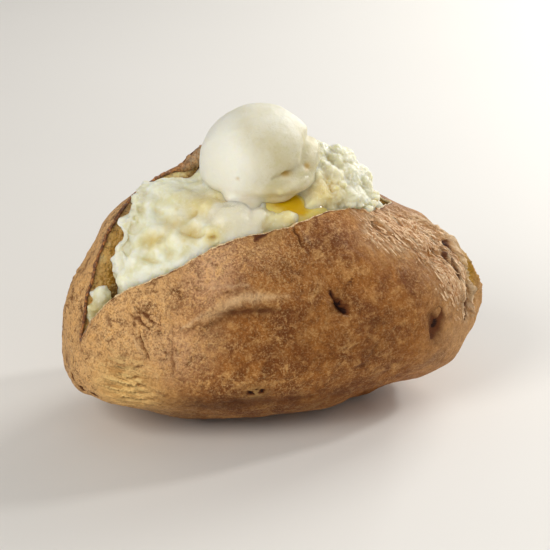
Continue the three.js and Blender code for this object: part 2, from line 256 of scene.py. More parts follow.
# Creases, scars and eyes.
FINE_MARKS = [Mark(*row) for row in (
    ([(-0.9, -25.3, 65.4), (0.4, -27.9, 62.8), (1.1, -29.8, 60.6)], 0.6, -0.9, 0.55),
    ([(0.6, -25.3, 65.2), (1.8, -27.9, 62.6), (2.6, -29.8, 60.4)], 0.9, 0.5, -0.3),
    ([(-13.5, -28.4, 62.8), (-11.6, -27.3, 64), (-8, -26.3, 65)], 1.1, -0.3, 0.8),
    ([(-29, -34.8, 43.8), (-24, -35.4, 45.2), (-15, -36.9, 45.4), (-3, -37.8, 45)], 0.8, -1, 0.42),
    ([(-37, -33.6, 40), (-31, -34.4, 44), (-25, -34.9, 47.2), (-12, -36, 47)], 1, 0.7, -0.55),
    ([(-38, -34, 37.6), (-33, -34.6, 41), (-29.4, -34.8, 43.6)], 0.7, -0.6, 0.35),
    ([(-28, -33.3, 50), (-23, -34.4, 50.6), (-13, -35.4, 50)], 0.7, -0.6, 0.45),
    ([(-30, -32.4, 51.6), (-22, -33.6, 52.2), (-14, -34.6, 51.8)], 1, 0.5, -0.4),
    ([(-5, -36.6, 49), (2, -36.8, 48.4), (6, -37, 47.6)], 0.9, -0.4, 0.25),
    ([(7.4, -36.4, 48.4), (9, -36.6, 46)], 0.8, -1, 1),
    ([(9.2, -36.8, 45.8), (10.9, -37.1, 43.4)], 1.35, -1.6, 1.4),
    ([(10.7, -37.1, 43.4), (12.4, -37, 41.4)], 1.4, -1.4, 1.35),
    ([(12, -37, 43.8), (13, -36.9, 43.2)], 0.7, -0.6, 1),
    ([(8, -36.8, 44.8), (9.6, -36.9, 43.8)], 0.6, -0.8, 0.9),
    ([(9.4, -37, 41.6), (12.6, -36.8, 39.8)], 0.8, 0.5, -0.4),
    ([(12, -36.6, 46.6), (12.6, -35.4, 49), (15.9, -33.4, 51.8)], 0.5, -0.5, 0.6),
    ([(4.6, -36.6, 46.4), (6.6, -37, 45.2), (8, -37.4, 42.6)], 0.7, 0.5, -0.3),
    ([(44, -28.6, 35.8), (42.3, -30, 31.4), (40.9, -30.9, 27.6)], 2.3, -0.9, 0.66),
    ([(43.3, -29.4, 33.4), (42.2, -30.2, 30)], 1.2, -0.4, 1),
    ([(21, -37.5, 30), (22.4, -37.4, 29.6)], 1.3, -0.3, 0.35),
    ([(15, -38, 24), (19, -37.6, 23.6)], 0.8, -0.4, 0.4),
    ([(23, -37, 37), (24.6, -36.8, 36.4)], 1.4, -0.4, 0.35),
    ([(-17.8, -37.6, 20.8), (-16.4, -37.8, 19.6)], 1.1, -0.9, 1.2),
    ([(-14.2, -37.9, 21), (-13.4, -37.8, 19.4)], 0.9, -0.9, 1.2),
    ([(-15.8, -37.8, 21.8), (-15.2, -37.8, 21.6)], 0.5, -0.5, 0.9),
    ([(-24, -35.4, 16.8), (-10, -35.6, 15.6), (3, -34.8, 15)], 2.6, -0.5, 0.3),
    ([(-48.5, -27.4, 39.4), (-47.4, -29.4, 35), (-46, -30.9, 29.4)], 0.65, -1.2, 0.5),
    ([(-49.7, -27, 38.6), (-48.6, -28.8, 34.5), (-47.2, -30.3, 30)], 0.8, 0.7, -0.45),
    ([(-39.1, -33.1, 37), (-40, -33.6, 31.5), (-39.2, -34.2, 26.4)], 0.6, -0.9, 0.36),
    ([(-38, -34, 36), (-38.8, -34.4, 31.5), (-38, -34.8, 27.4)], 0.8, 0.5, -0.35),
    ([(-50.6, -24.8, 43.6), (-47.6, -27.2, 42.4), (-44.8, -29.4, 39.6)], 0.7, -0.9, 0.55),
    ([(-46.6, -26.6, 44.8), (-44.4, -28.6, 43.4), (-41.6, -31, 41.2)], 0.9, -0.9, 0.6),
    ([(-44.8, -28.8, 43.4), (-43.6, -29.8, 42.2)], 1, -1.2, 1),
    ([(-56, -20, 42), (-54.6, -22.6, 38)], 0.7, -0.6, 0.4),
    ([(-42, -31.6, 34), (-40.6, -32.8, 32.6)], 0.6, -0.5, 0.5),
    ([(-64.2, -8.6, 19.6), (-63.4, -10.4, 17.4)], 1.2, -1.2, 1.2),
    ([(-62.8, -11.6, 16.4), (-61.4, -13.4, 15.4)], 1.3, -1.2, 1.3),
    ([(-60.6, -15.6, 15.4), (-58.4, -18.6, 15.6)], 0.9, -0.8, 0.9),
    ([(-64, -10.8, 24.6), (-63.8, -11.6, 23.6)], 0.6, -0.6, 0.7),
    ([(-55.3, -23, 27), (-51, -26.8, 27.6), (-46.4, -29.8, 28.6)], 0.55, -1.1, 0.42),
    ([(-56.6, -22, 24.6), (-51, -27.2, 24.4), (-45.8, -30.4, 25.6)], 0.55, -1, 0.34),
    ([(-56.4, -22.4, 22.6), (-51, -27.2, 22), (-46, -30.2, 22.8)], 0.5, -1, 0.34),
    ([(-55.8, -23, 20.4), (-50, -27.6, 19.8), (-44.6, -30.8, 20.4)], 0.5, -0.9, 0.34),
    ([(-54.6, -23.6, 18.2), (-48, -28, 17.6), (-42, -31, 18)], 0.5, -0.8, 0.34),
    ([(49.5, -4, 51.4), (51.3, -11.4, 48.9), (53.6, -15.4, 45), (54.8, -19.2, 42)], 1.1, -1.9, 1),
    ([(54.6, -18.8, 42.4), (55.4, -20.8, 38.2), (55.4, -21.8, 34.5), (54.4, -22.6, 29.3)], 1.4, -1.8, 1.1),
    ([(50.8, -1.8, 50.9), (52.8, -9, 48.3), (55.4, -13, 44.3), (56.8, -16.6, 41)], 1.9, 1.3, 0),
    ([(57, -16.4, 40), (57.6, -18.2, 36.8), (57.4, -19.2, 33.2), (56.4, -20, 28.2)], 1.7, 1.5, -0.3),
    ([(53.6, 2.6, 49.6), (56.2, 0.5, 46.8), (59, 0, 44)], 3.4, -2.3, 0),
    ([(60.8, -3.5, 41.6), (62.4, -8, 39.4), (63.4, -9.4, 36)], 2.8, -1.5, 0),
    ([(58.8, -11.4, 42.8), (59.6, -13.2, 37.2)], 1.9, -1.5, 0),
    ([(44.6, -16, 52.8), (46.6, -17.8, 50.4), (48.2, -20.2, 46.8)], 0.6, -0.7, 0.85),
    ([(42, -18, 52.6), (44.4, -20.2, 49.6), (46.4, -22.2, 46)], 0.5, -0.6, 0.7),
    ([(48.6, -18.4, 48), (50.6, -20.8, 44), (51.6, -22.6, 40)], 0.55, -0.7, 0.8),
    ([(58.6, -16.6, 36.4), (60.2, -14, 33.6)], 1.1, -1.4, 1),
    ([(54, -22.8, 30.6), (54.2, -22.8, 28.6)], 1, -1.2, 1.3),
    ([(56, -19.6, 38.6), (58, -17.4, 34.8), (60.4, -14.8, 31.8)], 0.7, 0.9, -1),
    ([(53.2, -6, 49.6), (58.4, -8.6, 44), (62, -11, 38.8)], 0.9, 0.9, -0.3),
    ([(40, -3, 60.4), (45, -4.6, 57), (49, -6.6, 53.4)], 2.3, 1.2, -0.2),
    ([(49.4, -12.6, 50.2), (51.4, -16.2, 46.6), (52, -20.4, 43), (52.2, -22.8, 38.4),
      (52.4, -23.6, 33)], 1.1, 0.8, -0.9),
    ([(42, -17, 53), (47, -18.4, 48.4), (51, -20, 43.4)], 0.9, 1.2, -0.7),
    ([(40.6, -19, 51.6), (45.6, -20.6, 47), (49.6, -22, 42)], 0.7, -1.2, 0.6),
    ([(38, -14, 57), (43.4, -14.6, 53.4), (48.4, -16, 48.6)], 0.7, -1.2, 0.6),
    ([(31, -13, 62), (36, -14.6, 58.6), (41, -17, 54)], 0.8, 0.9, -0.7),
    ([(26, -16, 62.6), (28.6, -18.6, 59.8), (31.6, -21.4, 56)], 0.7, 0.8, -0.8),
    ([(23.4, -17, 63), (25.8, -20, 60.4), (28.6, -23, 56.6)], 0.6, -0.8, 0.4),
    ([(21, -18.6, 62.6), (22.8, -21.2, 60), (25, -24, 57)], 0.6, 0.7, -0.6),
    ([(-20, 39, 40), (-4, 41, 37), (12, 40, 39)], 1.1, -0.8, 0.4),
    ([(-38, 33, 34), (-35, 34.6, 28), (-34, 34.4, 22)], 0.9, -0.7, 0.4),
    ([(30, 35, 44), (30.6, 35.6, 41)], 1.3, -1.5, 1),
    ([(-8, 40.4, 26), (-6.6, 40.4, 23.6)], 1.3, -1.4, 1),
    ([(-50, 22, 20), (-48.6, 23.4, 19)], 1.1, -1.2, 0.9),
    ([(20, 38, 22), (30, 35, 20), (40, 29, 21)], 1, -0.6, 0.35),
)]

# Painted highlight along the top of the fold across the front, and painted shade below it.
FOLD_PAINTED_HIGHLIGHT = Mark([(-34, -34, 41), (-25, -36, 47.2), (-19, -36.6, 49.6), (-6, -38, 49)], 2.2)
FOLD_PAINTED_SHADE = Mark([(-30, -35.6, 41.6), (-22, -37, 45), (-16, -37.6, 45.4), (-4, -38.6, 44.6)], 1.9)

# Where the skin flakes: down the right end and along the shoulder towards the opening.
FLAKY_END = Mark([(26, -15, 62), (37, -16, 56.5), (46, -18, 49), (52, -20, 41), (54.5, -22, 32)], 8.0)
FLAKY_SHOULDER = Mark([(20, -18, 64), (26, -22, 58.5), (34, -23, 54.5)], 4.5)

# Distance towards the core counts less for a fine mark, so that a swell or a dent doesn't lose it.
MARK_DEPTH_WEIGHT = 0.25

# A bare yellowish pocket under the flap of skin at the right end.
POCKET = (58.2, -12.6, 41.0)

# Fields of fine folds where the drying skin has shrunk: place, reach, direction, spacing, depth, seed.
Wrinkles = namedtuple("Wrinkles", "centre spread along spacing depth seed")
WRINKLES = [Wrinkles(*row) for row in (
    ((45, -13, 51), (18, 13, 12), (0.63, -0.28, -0.73), 2.2, 1.9, 3),
    ((58, -12, 38), (9, 14, 14), (0.35, -0.2, -0.9), 2.4, 1.8, 5),
    ((-52, -27, 21), (9, 8, 7), (0.75, -0.6, -0.12), 1.9, 2, 7),
    ((-46, -29, 38), (13, 9, 12), (0.2, -0.3, -0.9), 2.6, 1.3, 11),
    ((-58, 4, 40), (9, 16, 18), (0.2, 0.5, -0.8), 3.4, 1.1, 13),
    ((-20, -33, 50), (22, 9, 9), (1, -0.15, 0.05), 2.8, 0.8, 15),
    ((0, -37, 33), (42, 12, 20), (1, -0.05, 0.1), 3.2, 0.5, 17),
    ((-28, 30, 50), (26, 14, 14), (0.9, 0.3, -0.2), 3.4, 0.7, 19),
    ((40, 26, 42), (22, 14, 20), (0.8, -0.4, -0.45), 2.9, 1, 23),
    ((0, 38, 24), (45, 12, 16), (1, 0, 0.1), 4.2, 0.5, 29),
    ((20, 22, 62), (26, 12, 10), (0.85, -0.2, -0.4), 3, 0.7, 37),
)]

# Fine relief of the peel: height, size and seed of each layer.
PEEL_GRAIN = [(0.45, 15, 41), (0.34, 6.5, 43), (0.16, 2.6, 47), (0.07, 1.3, 59)]


def from_line(points, start, end):
    """How far along a line each point lies, from 0 to 1, and the way to it from there."""
    span = end - start
    share = np.clip((points - start) @ span / (span @ span), 0, 1)
    return share, points - start - share[..., None] * span


def line_share(points, mark, depth_weight=1.0):
    """How near each point is to a mark's line: 1 on it, 0 well away, tapering at both ends.

    Distance towards the core of the potato counts for less if the depth weight is below 1.
    """
    inward = unit(CORE - points)
    near = np.zeros(points.shape[:-1])
    ends = np.array(mark.points, dtype=float)
    for index, (start, end) in enumerate(zip(ends[:-1], ends[1:])):
        share, away = from_line(points, start, end)
        away -= (1 - depth_weight) * np.sum(away * inward, axis=-1, keepdims=True) * inward
        along = (index + share) / (len(ends) - 1)
        taper = 0.35 + 0.65 * smoothstep(np.minimum(along, 1 - along), 0, 0.3)
        near = np.maximum(near, bell(np.linalg.norm(away, axis=-1), 0, mark.width * taper))
    return near


def broad_rise(points):
    """The rise of all broad folds and dents together."""
    total = np.zeros(points.shape[:-1])
    for mark in BROAD_MARKS:
        _, away = from_line(points, *np.array(mark.points, dtype=float))
        total += mark.rise * bell(np.linalg.norm(away, axis=-1), 0, mark.width)
    return total


def wrinkle_rise(points, field):
    """Sharp irregular ridges that run along the field's direction."""
    along = unit(np.array(field.along))
    outward = np.array(field.centre) - CORE
    outward = unit(outward - along * (outward @ along))
    bent = warped(points, 14, 2.2, field.seed)
    local = np.stack([bent @ np.cross(along, outward), bent @ along / 6.5, bent @ outward / 3], axis=-1)
    ridge = 1 - np.abs(noise(local, field.spacing, field.seed)) * 2.4
    fine = 1 - np.abs(noise(local, field.spacing * 0.45, field.seed + 1)) * 2.4
    return field.depth * (0.62 * ridge * np.abs(ridge) + 0.38 * fine - 0.25)


def skin_detail(points):
    """Fine relief of the peel in millimetres, how dark its marks are there (scorched eyes, painted shade in
    creases), and where a raised ridge gets a painted highlight.
    """
    relief = layered(points, PEEL_GRAIN)
    for field in WRINKLES:
        relief += blob(points, field.centre, field.spread) * wrinkle_rise(points, field)
    burn_and_crease_shade = np.zeros(points.shape[:-1])
    ridge_highlight = np.zeros(points.shape[:-1])
    bent = warped(points, 2.6, 0.7, 53)
    for mark in FINE_MARKS:
        share = line_share(bent, mark, MARK_DEPTH_WEIGHT)
        relief += mark.rise * share
        burn_and_crease_shade = np.maximum(burn_and_crease_shade, mark.tone * share)
        ridge_highlight = np.maximum(ridge_highlight, -mark.tone * share)
    return relief, burn_and_crease_shade, ridge_highlight


def flap_rise(turn, angle):
    """The back lip stands up highest near the middle of the opening."""
    from_rim = np.maximum(angle - rim_angle(turn), 0)
    return FLAP_RISE * bell(np.mod(turn, FULL_TURN), FLAP_TURN, FLAP_SPREAD) * bell(from_rim, 0, FLAP_REACH)


def wall_point(turn, angle, offset=0.0):
    """A point that many millimetres outside (or, if negative, inside) the skin's outer face."""
    point = body_point(turn, angle)
    from_core = point - CORE
    length = np.linalg.norm(from_core, axis=-1)
    rise = flap_rise(turn, angle) + unevenness(point) + broad_rise(point) + offset
    return CORE + from_core * (1 + rise / length)[..., None]


# ---------------------------------------------------------------------------- meshes

def ring_quads(rings, columns, start=0, closed=False):
    """Quads between each ring of points and the next, and from the last to the first if closed."""
    ring, column = np.meshgrid(np.arange(rings if closed else rings - 1), np.arange(columns), indexing="ij")
    beyond, beside = (ring + 1) % rings, (column + 1) % columns
    corners = ((ring, column), (beyond, column), (beyond, beside), (ring, beside))
    return np.stack([start + row * columns + at for row, at in corners], axis=-1).reshape(-1, 4).tolist()


def capped_faces(rings, columns):
    """Faces of a closed solid whose points are a first pole, rings and a last pole."""
    last = rings * columns + 1
    faces = ring_quads(rings, columns, 1)
    for column in range(columns):
        beside = (column + 1) % columns
        faces.append((0, 1 + column, 1 + beside))
        faces.append((last - columns + column, last, last - columns + beside))
    return faces


def with_poles(values, first=0.0, last=0.0):
    """The values of all rings in one row, with those of the two poles before and after them."""
    flat = values.reshape(-1, *values.shape[2:])
    ends = [np.broadcast_to(pole, flat[:1].shape) for pole in (first, last)]
    return np.concatenate([ends[0], flat, ends[1]])


def ringed_solid(first_pole, rings, last_pole):
    return with_poles(rings, first_pole, last_pole), capped_faces(*rings.shape[:2])


def make_mesh(name, points, faces):
    mesh = bpy.data.meshes.new(name)
    mesh.from_pydata((points * MM).tolist(), [], faces)
    mesh.update()
    return mesh


def make_object(name, contents):
    piece = bpy.data.objects.new(name, contents)
    bpy.context.collection.objects.link(piece)
    return piece


def read(items, name, width, kind=np.float32):
    """One property of all points or edges of a mesh, a row each."""
    flat = np.empty(len(items) * width, dtype=kind)
    items.foreach_get(name, flat)
    return flat.reshape(-1, width)


def mesh_points(mesh):
    return read(mesh.vertices, "co", 3).astype(float) / MM


def mesh_normals(mesh):
    return read(mesh.vertex_normals, "vector", 3).astype(float)


def mesh_edges(mesh):
    return read(mesh.edges, "vertices", 2, np.int32)


def set_points(mesh, points):
    mesh.vertices.foreach_set("co", (points * MM).astype(np.float32).ravel())
    mesh.update()


def set_attributes(mesh, **shares):
    """Shares from 0 to 1 at each point, which the material looks up by name."""
    for name, values in shares.items():
        layer = mesh.attributes.new(name, "FLOAT", "POINT")
        layer.data.foreach_set("value", np.clip(values, 0, 1).astype(np.float32).ravel())


def neighbour_mean(values, edges):
    count = len(values)
    total = np.zeros_like(values)
    for near, far in (edges.T, edges.T[::-1]):
        for axis in range(values.shape[1]):
            total[:, axis] += np.bincount(near, values[far, axis], count)
    times = np.bincount(edges.ravel(), minlength=count)
    return total / np.maximum(times, 1)[:, None]


def relaxed(points, edges, rounds):
    """Points moved half way to the mean of their neighbours, that many times over."""
    for _ in range(rounds):
        points = mix(points, neighbour_mean(points, edges), 0.5)
    return points


def joined_by_voxels(name, parts, voxel):
    """One closed mesh round all the parts, which may overlap, without loose bits."""
    faces = []
    start = 0
    for part_points, part_faces in parts:
        faces.extend([tuple(index + start for index in face) for face in part_faces])
        start += len(part_points)
    rough_mesh = make_mesh(name + "_rough", np.concatenate([part_points for part_points, _ in parts]), faces)
    rough = make_object(rough_mesh.name, rough_mesh)
    remesh = rough.modifiers.new("voxels", "REMESH")
    remesh.mode = "VOXEL"
    remesh.voxel_size = voxel * MM
    bpy.context.view_layer.update()
    mesh = bpy.data.meshes.new_from_object(rough.evaluated_get(bpy.context.evaluated_depsgraph_get()))
    mesh.name = name
    bpy.data.objects.remove(rough)
    bpy.data.meshes.remove(rough_mesh)
    drop_loose_bits(mesh)
    return mesh


def drop_loose_bits(mesh):
    """Deletes every island of the mesh but the largest."""
    shape = bmesh.new()
    shape.from_mesh(mesh)
    left = set(shape.verts)
    islands = []
    while left:
        island = [left.pop()]
        for vertex in island:
            beside = {edge.other_vert(vertex) for edge in vertex.link_edges} & left
            left -= beside
            island.extend(beside)
        islands.append(island)
    islands.sort(key=len)
    loose = [vertex for island in islands[:-1] for vertex in island]
    bmesh.ops.delete(shape, geom=loose, context="VERTS")
    shape.to_mesh(mesh)
    shape.free()
    mesh.update()


def finish_piece(name, mesh, material, replaced=()):
    mesh.polygons.foreach_set("use_smooth", [True] * len(mesh.polygons))
    mesh.update()
    mesh.materials.clear()
    mesh.materials.append(material)
    piece = make_object(name, mesh)
    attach(piece, "root")
    if replaced:
        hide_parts(*replaced)


# ---------------------------------------------------------------------------- materials

class Nodes:
    """A material whose colours and bumps are laid over one another in turn.

    What feeds a socket is a number, a tuple, another socket or the name of an attribute of the mesh.
    """

    def __init__(self, name, *colour):
        self.material = bpy.data.materials.new(name)
        self.material.use_nodes = True
        self.tree = self.material.node_tree
        self.place = self.node("TexCoord").outputs["Object"]
        self.colour = rgb(*colour)
        self.normal = None

    def link(self, source, target):
        if isinstance(source, str):
            source = self.node("Attribute", attribute_name=source).outputs["Fac"]
        if isinstance(source, (int, float, tuple)):
            target.default_value = source
        else:
            self.tree.links.new(source, target)

    def node(self, kind, sockets=(), **settings):
        node = self.tree.nodes.new("ShaderNode" + kind)
        for name, value in settings.items():
            setattr(node, name, value)
        for name, source in dict(sockets).items():
            self.link(source, node.inputs[name])
        return node

    def noise(self, size, detail=4.0, roughness=0.6, distortion=0.0, along=None, longer=1.0):
        """Noise from 0 to 1 with features of that size in millimetres, drawn out along a direction."""
        place = self.place
        if along:
            turned = tuple(Vector(along).to_track_quat("X", "Z").to_euler())
            sockets = {"Vector": place, "Rotation": turned, "Scale": (longer, 1, 1)}
            place = self.node("Mapping", sockets, vector_type="TEXTURE").outputs["Vector"]
        return self.node("TexNoise", {
            "Vector": place, "Scale": 1 / (size * MM), "Detail": detail, "Roughness": roughness,
            "Distortion": distortion}).outputs["Fac"]

    def math(self, operation, *values):
        node = self.node("Math", operation=operation)
        for value, socket in zip(values, node.inputs):
            self.link(value, socket)
        return node.outputs["Value"]

    def times(self, first, second):
        return self.math("MULTIPLY", first, second)

    def plus(self, first, value, factor, less):
        """The first plus the value times the factor, less a number."""
        return self.math("ADD", first, self.math("MULTIPLY_ADD", value, factor, -less))

    def between(self, value, low, high, to_low=0.0, to_high=1.0):
        """A smooth step from to_low, where the value is low, to to_high, where it is high."""
        return self.node("MapRange", {
            "Value": value, "From Min": low, "From Max": high, "To Min": to_low, "To Max": to_high,
        }, interpolation_type="SMOOTHSTEP").outputs["Result"]

    def blend(self, first, second, share):
        node = self.node("Mix", {"Factor": share}, data_type="RGBA")
        colours = [socket for socket in node.inputs if socket.type == "RGBA"]
        self.link(first, colours[0])
        self.link(second, colours[1])
        return [socket for socket in node.outputs if socket.type == "RGBA"][0]

    def coat(self, colour, share):
        """Lays a colour over those so far, by that share."""
        self.colour = self.blend(self.colour, rgb(*colour), share)

    def tint(self, colour, value, low, high, strength):
        """Lays a colour over those so far, by that strength where the value reaches high."""
        self.coat(colour, self.times(self.between(value, low, high), strength))

    def mottle(self, value, dark, pale, spread, strength):
        """Darkens the colour where the value is below a half and pales it where it is above."""
        self.tint(dark, value, 0.5, 0.5 - spread, strength)
        self.tint(pale, value, 0.5, 0.5 + spread, strength)

    def bump(self, height, millimetres, strength):
        sockets = {"Distance": millimetres * MM, "Strength": strength, "Height": height}
        if self.normal is not None:
            sockets["Normal"] = self.normal
        self.normal = self.node("Bump", sockets).outputs["Normal"]

    def finish(self, **sockets):
        """Sets the shader's sockets, Specular_IOR_Level for Specular IOR Level and so on."""
        shader = self.tree.nodes["Principled BSDF"]
        self.link(self.colour, shader.inputs["Base Color"])
        if self.normal is not None:
            self.link(self.normal, shader.inputs["Normal"])
        for name, source in sockets.items():
            self.link(source, shader.inputs[name.replace("_", " ")])
        return self.material


def rgb(*display):
    """A linear colour from the usual 0 to 255 display values."""
    shares = [value / 255 for value in display]
    linear = [share / 12.92 if share <= 0.04045 else ((share + 0.055) / 1.055) ** 2.4 for share in shares]
    return (*linear, 1.0)


FLAKES_ALONG = (0.63, -0.28, -0.73)
CREASES_ALONG = (0.76, -0.63, -0.12)


def peel_material():
    """Russet skin: corky and speckled, flaky where it dried, brown in its creases, scorched in its eyes;
    painted shade in its creases and hollows, and painted light on its ridges, its right end and the top of
    the front fold.
    """
    m = Nodes("russet_peel", 120, 64, 18)
    patches = m.noise(13, 5, 0.62, 0.6)
    blotches = m.noise(4.5, 4, 0.66, 0.8)
    mottles = m.noise(1.8, 4, 0.7, 0.6)
    grain = m.noise(0.6, 4, 0.74)
    specks = m.noise(0.42, 2, 0.6)
    folds = m.noise(1.2, 4, 0.62, 0.5, FLAKES_ALONG, 5.0)
    creases = m.noise(1.1, 2, 0.5, 0.3, CREASES_ALONG, 11.0)
    m.coat((170, 106, 40), m.between(patches, 0.36, 0.66))
    # Tan: paler towards the left end and at the back, and painted light on the right end, its top and the
    # front fold.
    m.coat((213, 165, 109), "tan")
    m.coat((244, 200, 126), "ochre")
    m.coat((226, 176, 132), "rosy")
    m.mottle(blotches, (100, 54, 16), (220, 166, 98), 0.19, "mottled")
    m.mottle(mottles, (106, 58, 18), (226, 172, 104), 0.17, m.times("mottled", 0.8))
    m.mottle(grain, (112, 62, 20), (244, 204, 142), 0.15, "grainy")
    m.tint((246, 212, 160), specks, 0.52, 0.68, "speckled")
    # Painted shade in the hollows of the relief, in the shady spots, low on the belly and under the front
    # fold.
    m.coat((80, 42, 14), "hollow")
    m.coat((230, 180, 128), m.times("flaky", 0.8))
    m.tint((250, 220, 180), folds, 0.50, 0.57, "flaky")
    m.tint((112, 60, 24), folds, 0.45, 0.36, "flaky")
    m.coat((190, 142, 44), "golden")
    m.tint((242, 206, 136), creases, 0.52, 0.60, m.times("creased", 0.8))
    m.tint((168, 112, 48), creases, 0.47, 0.41, m.times("creased", 0.7))
    # Painted highlight on raised ridges; then the dark marks: scorched in the eyes and at the rim, painted
    # shade in the creases.
    marked = m.plus("burn_and_crease_shade", mottles, 0.6, 0.3)
    m.coat((242, 212, 170), m.between(m.plus("ridge", mottles, 0.6, 0.3), 0.1, 0.9))
    m.coat((104, 56, 22), m.between(marked, 0.12, 0.55))
    m.coat((44, 18, 7), m.between(marked, 0.55, 0.95))
    m.bump(m.noise(3.4, 4, 0.62, 0.6), 1.6, 0.6)
    m.bump(m.times(folds, "flaky"), 3.6, 1.0)
    m.bump(m.times(creases, "creased"), 2.2, 0.8)
    m.bump(mottles, 0.8, 0.7)
    m.bump(grain, 0.4, 0.8)
    return m.finish(Roughness=m.between(mottles, 0.3, 0.7, 0.68, 0.48), Specular_IOR_Level=0.18)


def flake_material():
    """Loose flakes of dry skin, from tan to cream."""
    m = Nodes("dry_flakes", 190, 134, 80)
    grain = m.noise(0.7, 3, 0.7)
    m.coat((246, 214, 170), "pale")
    m.mottle(grain, (150, 92, 44), (255, 240, 214), 0.2, 0.5)
    m.bump(grain, 0.2, 0.6)
    return m.finish(Roughness=0.55, Specular_IOR_Level=0.3)


def lining_material():
    """The moist flesh that clings to the inside of the skin: tan at the lip, olive brown further down,
    darkest as painted shade in the recess beside the flesh.
    """
    m = Nodes("golden_lining", 222, 176, 98)
    patches = m.noise(2.4, 5, 0.68, 0.8)
    fine = m.noise(0.9, 4, 0.7)
    down = m.plus("deep", patches, 1.5, 0.75)
    # Darker further down: olive brown, and darkest as painted shade in the recess beside the flesh.
    m.coat((176, 126, 22), m.between(down, 0.05, 0.4))
    m.coat((112, 78, 4), m.between(down, 0.4, 0.8))
    m.mottle(fine, (92, 58, 4), (238, 206, 136), 0.17, 0.75)
    m.coat((232, 220, 168), "flesh")
    m.coat((112, 56, 14), "edge")
    m.bump(patches, 1.0, 0.6)
    m.bump(fine, 0.4, 0.8)
    return m.finish(Roughness=0.38, Subsurface_Weight=0.3, Subsurface_Radius=(1.0, 0.6, 0.2),
                    Subsurface_Scale=1.2 * MM)


def lip_material():
    """The dried edge of the skin: cream at the front, scorched orange brown elsewhere."""
    m = Nodes("scorched_lip", 84, 42, 14)
    streaks = m.noise(1.4, 4, 0.7, 0.8)
    fine = m.noise(0.6, 3, 0.7)
    m.coat((186, 120, 54), m.between(streaks, 0.40, 0.66))
    m.coat((44, 18, 6), m.between(fine, 0.42, 0.32))
    pale = m.blend(rgb(196, 150, 96), rgb(240, 218, 172), m.between(fine, 0.38, 0.58))
    m.colour = m.blend(pale, m.colour, "charred")
    m.bump(streaks, 0.7, 0.8)
    return m.finish(Roughness=0.42)


def flesh_material():
    """Fluffed potato: moist, translucent and mealy, yellow where butter soaks in, with painted yellowish
    shade in its clefts.
    """
    m = Nodes("fluffed_flesh", 224, 221, 184)
    grain = m.noise(0.9, 4, 0.68)
    m.coat((234, 235, 217), m.between(m.noise(6.5, 4, 0.6, 0.5), 0.36, 0.6))
    # Painted shade: yellowish cream in the clefts of the heap.
    m.coat((226, 214, 150), "cavity")
    m.coat((212, 208, 180), m.times("mealy", 0.6))
    m.coat((216, 188, 88), "soak")
    m.coat((186, 170, 104), "damp")
    m.tint((246, 247, 238), grain, 0.54, 0.7, 0.35)
    m.coat((228, 222, 198), m.times("cream", 0.85))
    m.bump(m.noise(2.2, 4, 0.62), 0.4, 0.35)
    m.bump(grain, 0.3, 0.6)
    roughness = m.math("MULTIPLY_ADD", "cream", -0.26, m.between(grain, 0.35, 0.65, 0.36, 0.55))
    return m.finish(Roughness=roughness, Subsurface_Weight=1.0, Subsurface_Radius=(1.0, 0.9, 0.6),
                    Subsurface_Scale=4.6 * MM, Specular_IOR_Level=0.4)


def butter_material():
    """Whipped butter: pale and dense, matt where it is cold and glossy where it melts; painted light whitens
    its left side and top.
    """
    m = Nodes("whipped_butter", 205, 195, 154)
    mottles = m.noise(2.2, 4, 0.66)
    pits = m.noise(0.8, 3, 0.66)
    m.coat((217, 211, 184), m.between(m.noise(9, 3, 0.55, 0.4), 0.32, 0.68))
    m.coat((204, 196, 148), m.between(mottles, 0.50, 0.36, 0.0, 0.5))
    m.coat((200, 188, 140), m.between(pits, 0.46, 0.34, 0.0, 0.45))
    # Painted light: whiter on the scoop's left side and top.
    m.coat((240, 240, 230), "pale")
    # Golden where the butter melts, in its dents and towards its foot, with painted shade low on the scoop.
    m.coat((206, 166, 60), "melt")
    m.bump(mottles, 0.5, 0.4)
    m.bump(pits, 0.2, 0.6)
    return m.finish(Roughness=m.between("wet", 0.0, 1.0, 0.52, 0.12), Subsurface_Weight=0.8,
                    Subsurface_Radius=(1.0, 0.88, 0.6), Subsurface_Scale=3.0 * MM, Specular_IOR_Level=0.42)


def melted_material():
    """Clear golden melted butter, paler where it is shallow."""
    m = Nodes("melted_butter", 230, 208, 116)
    swirl = m.noise(2.4, 3, 0.5, 0.6)
    m.coat((208, 166, 8), m.between(m.plus("deep", swirl, 0.7, 0.35), 0.0, 0.8))
    m.bump(swirl, 0.25, 0.4)
    return m.finish(Roughness=0.08, Transmission_Weight=0.15, IOR=1.46, Subsurface_Weight=0.6,
                    Subsurface_Radius=(1.0, 0.72, 0.12), Subsurface_Scale=2.2 * MM)


def floor_material():
    m = Nodes("pale_floor", 222, 219, 212)
    m.coat((229, 226, 220), m.noise(240, 3, 0.5))
    return m.finish(Roughness=0.6)


# ---------------------------------------------------------------------------- skin

PEEL_COLUMNS = 560
PEEL_OUTER_ROWS, PEEL_OUTER_POWER = 150, 1.12
PEEL_INNER_ROWS, PEEL_INNER_POWER = 12, 1.6
PEEL_FOCUS = 0.45
FOCUS_TURN = 285.0
FINE_TURNS = 3601

# The rounded edge of the peel, from its inner to its outer face: angle past the rim, and depth.
PEEL_EDGE = [(0.15, PEEL), (-0.2, 0.68 * PEEL), (-0.05, 0.25 * PEEL), (0.35, 0.04)]
PEEL_START = 0.9

# Small tears along the rim: share, size and seed of each layer.
RIM_TEARS = [(1.0, 5.0, 61), (0.6, 1.9, 67)]

LINING_COLUMNS = 460
LINING_ROWS = 56
LINING_REACH = 26.0
CUT_ROWS = 22

# The back lip is rolled over and charred behind the scoop.
LIP_ROLL = 1.5
LIP_ROLL_TURN = 90.0
LIP_ROLL_SPREAD = 11.0

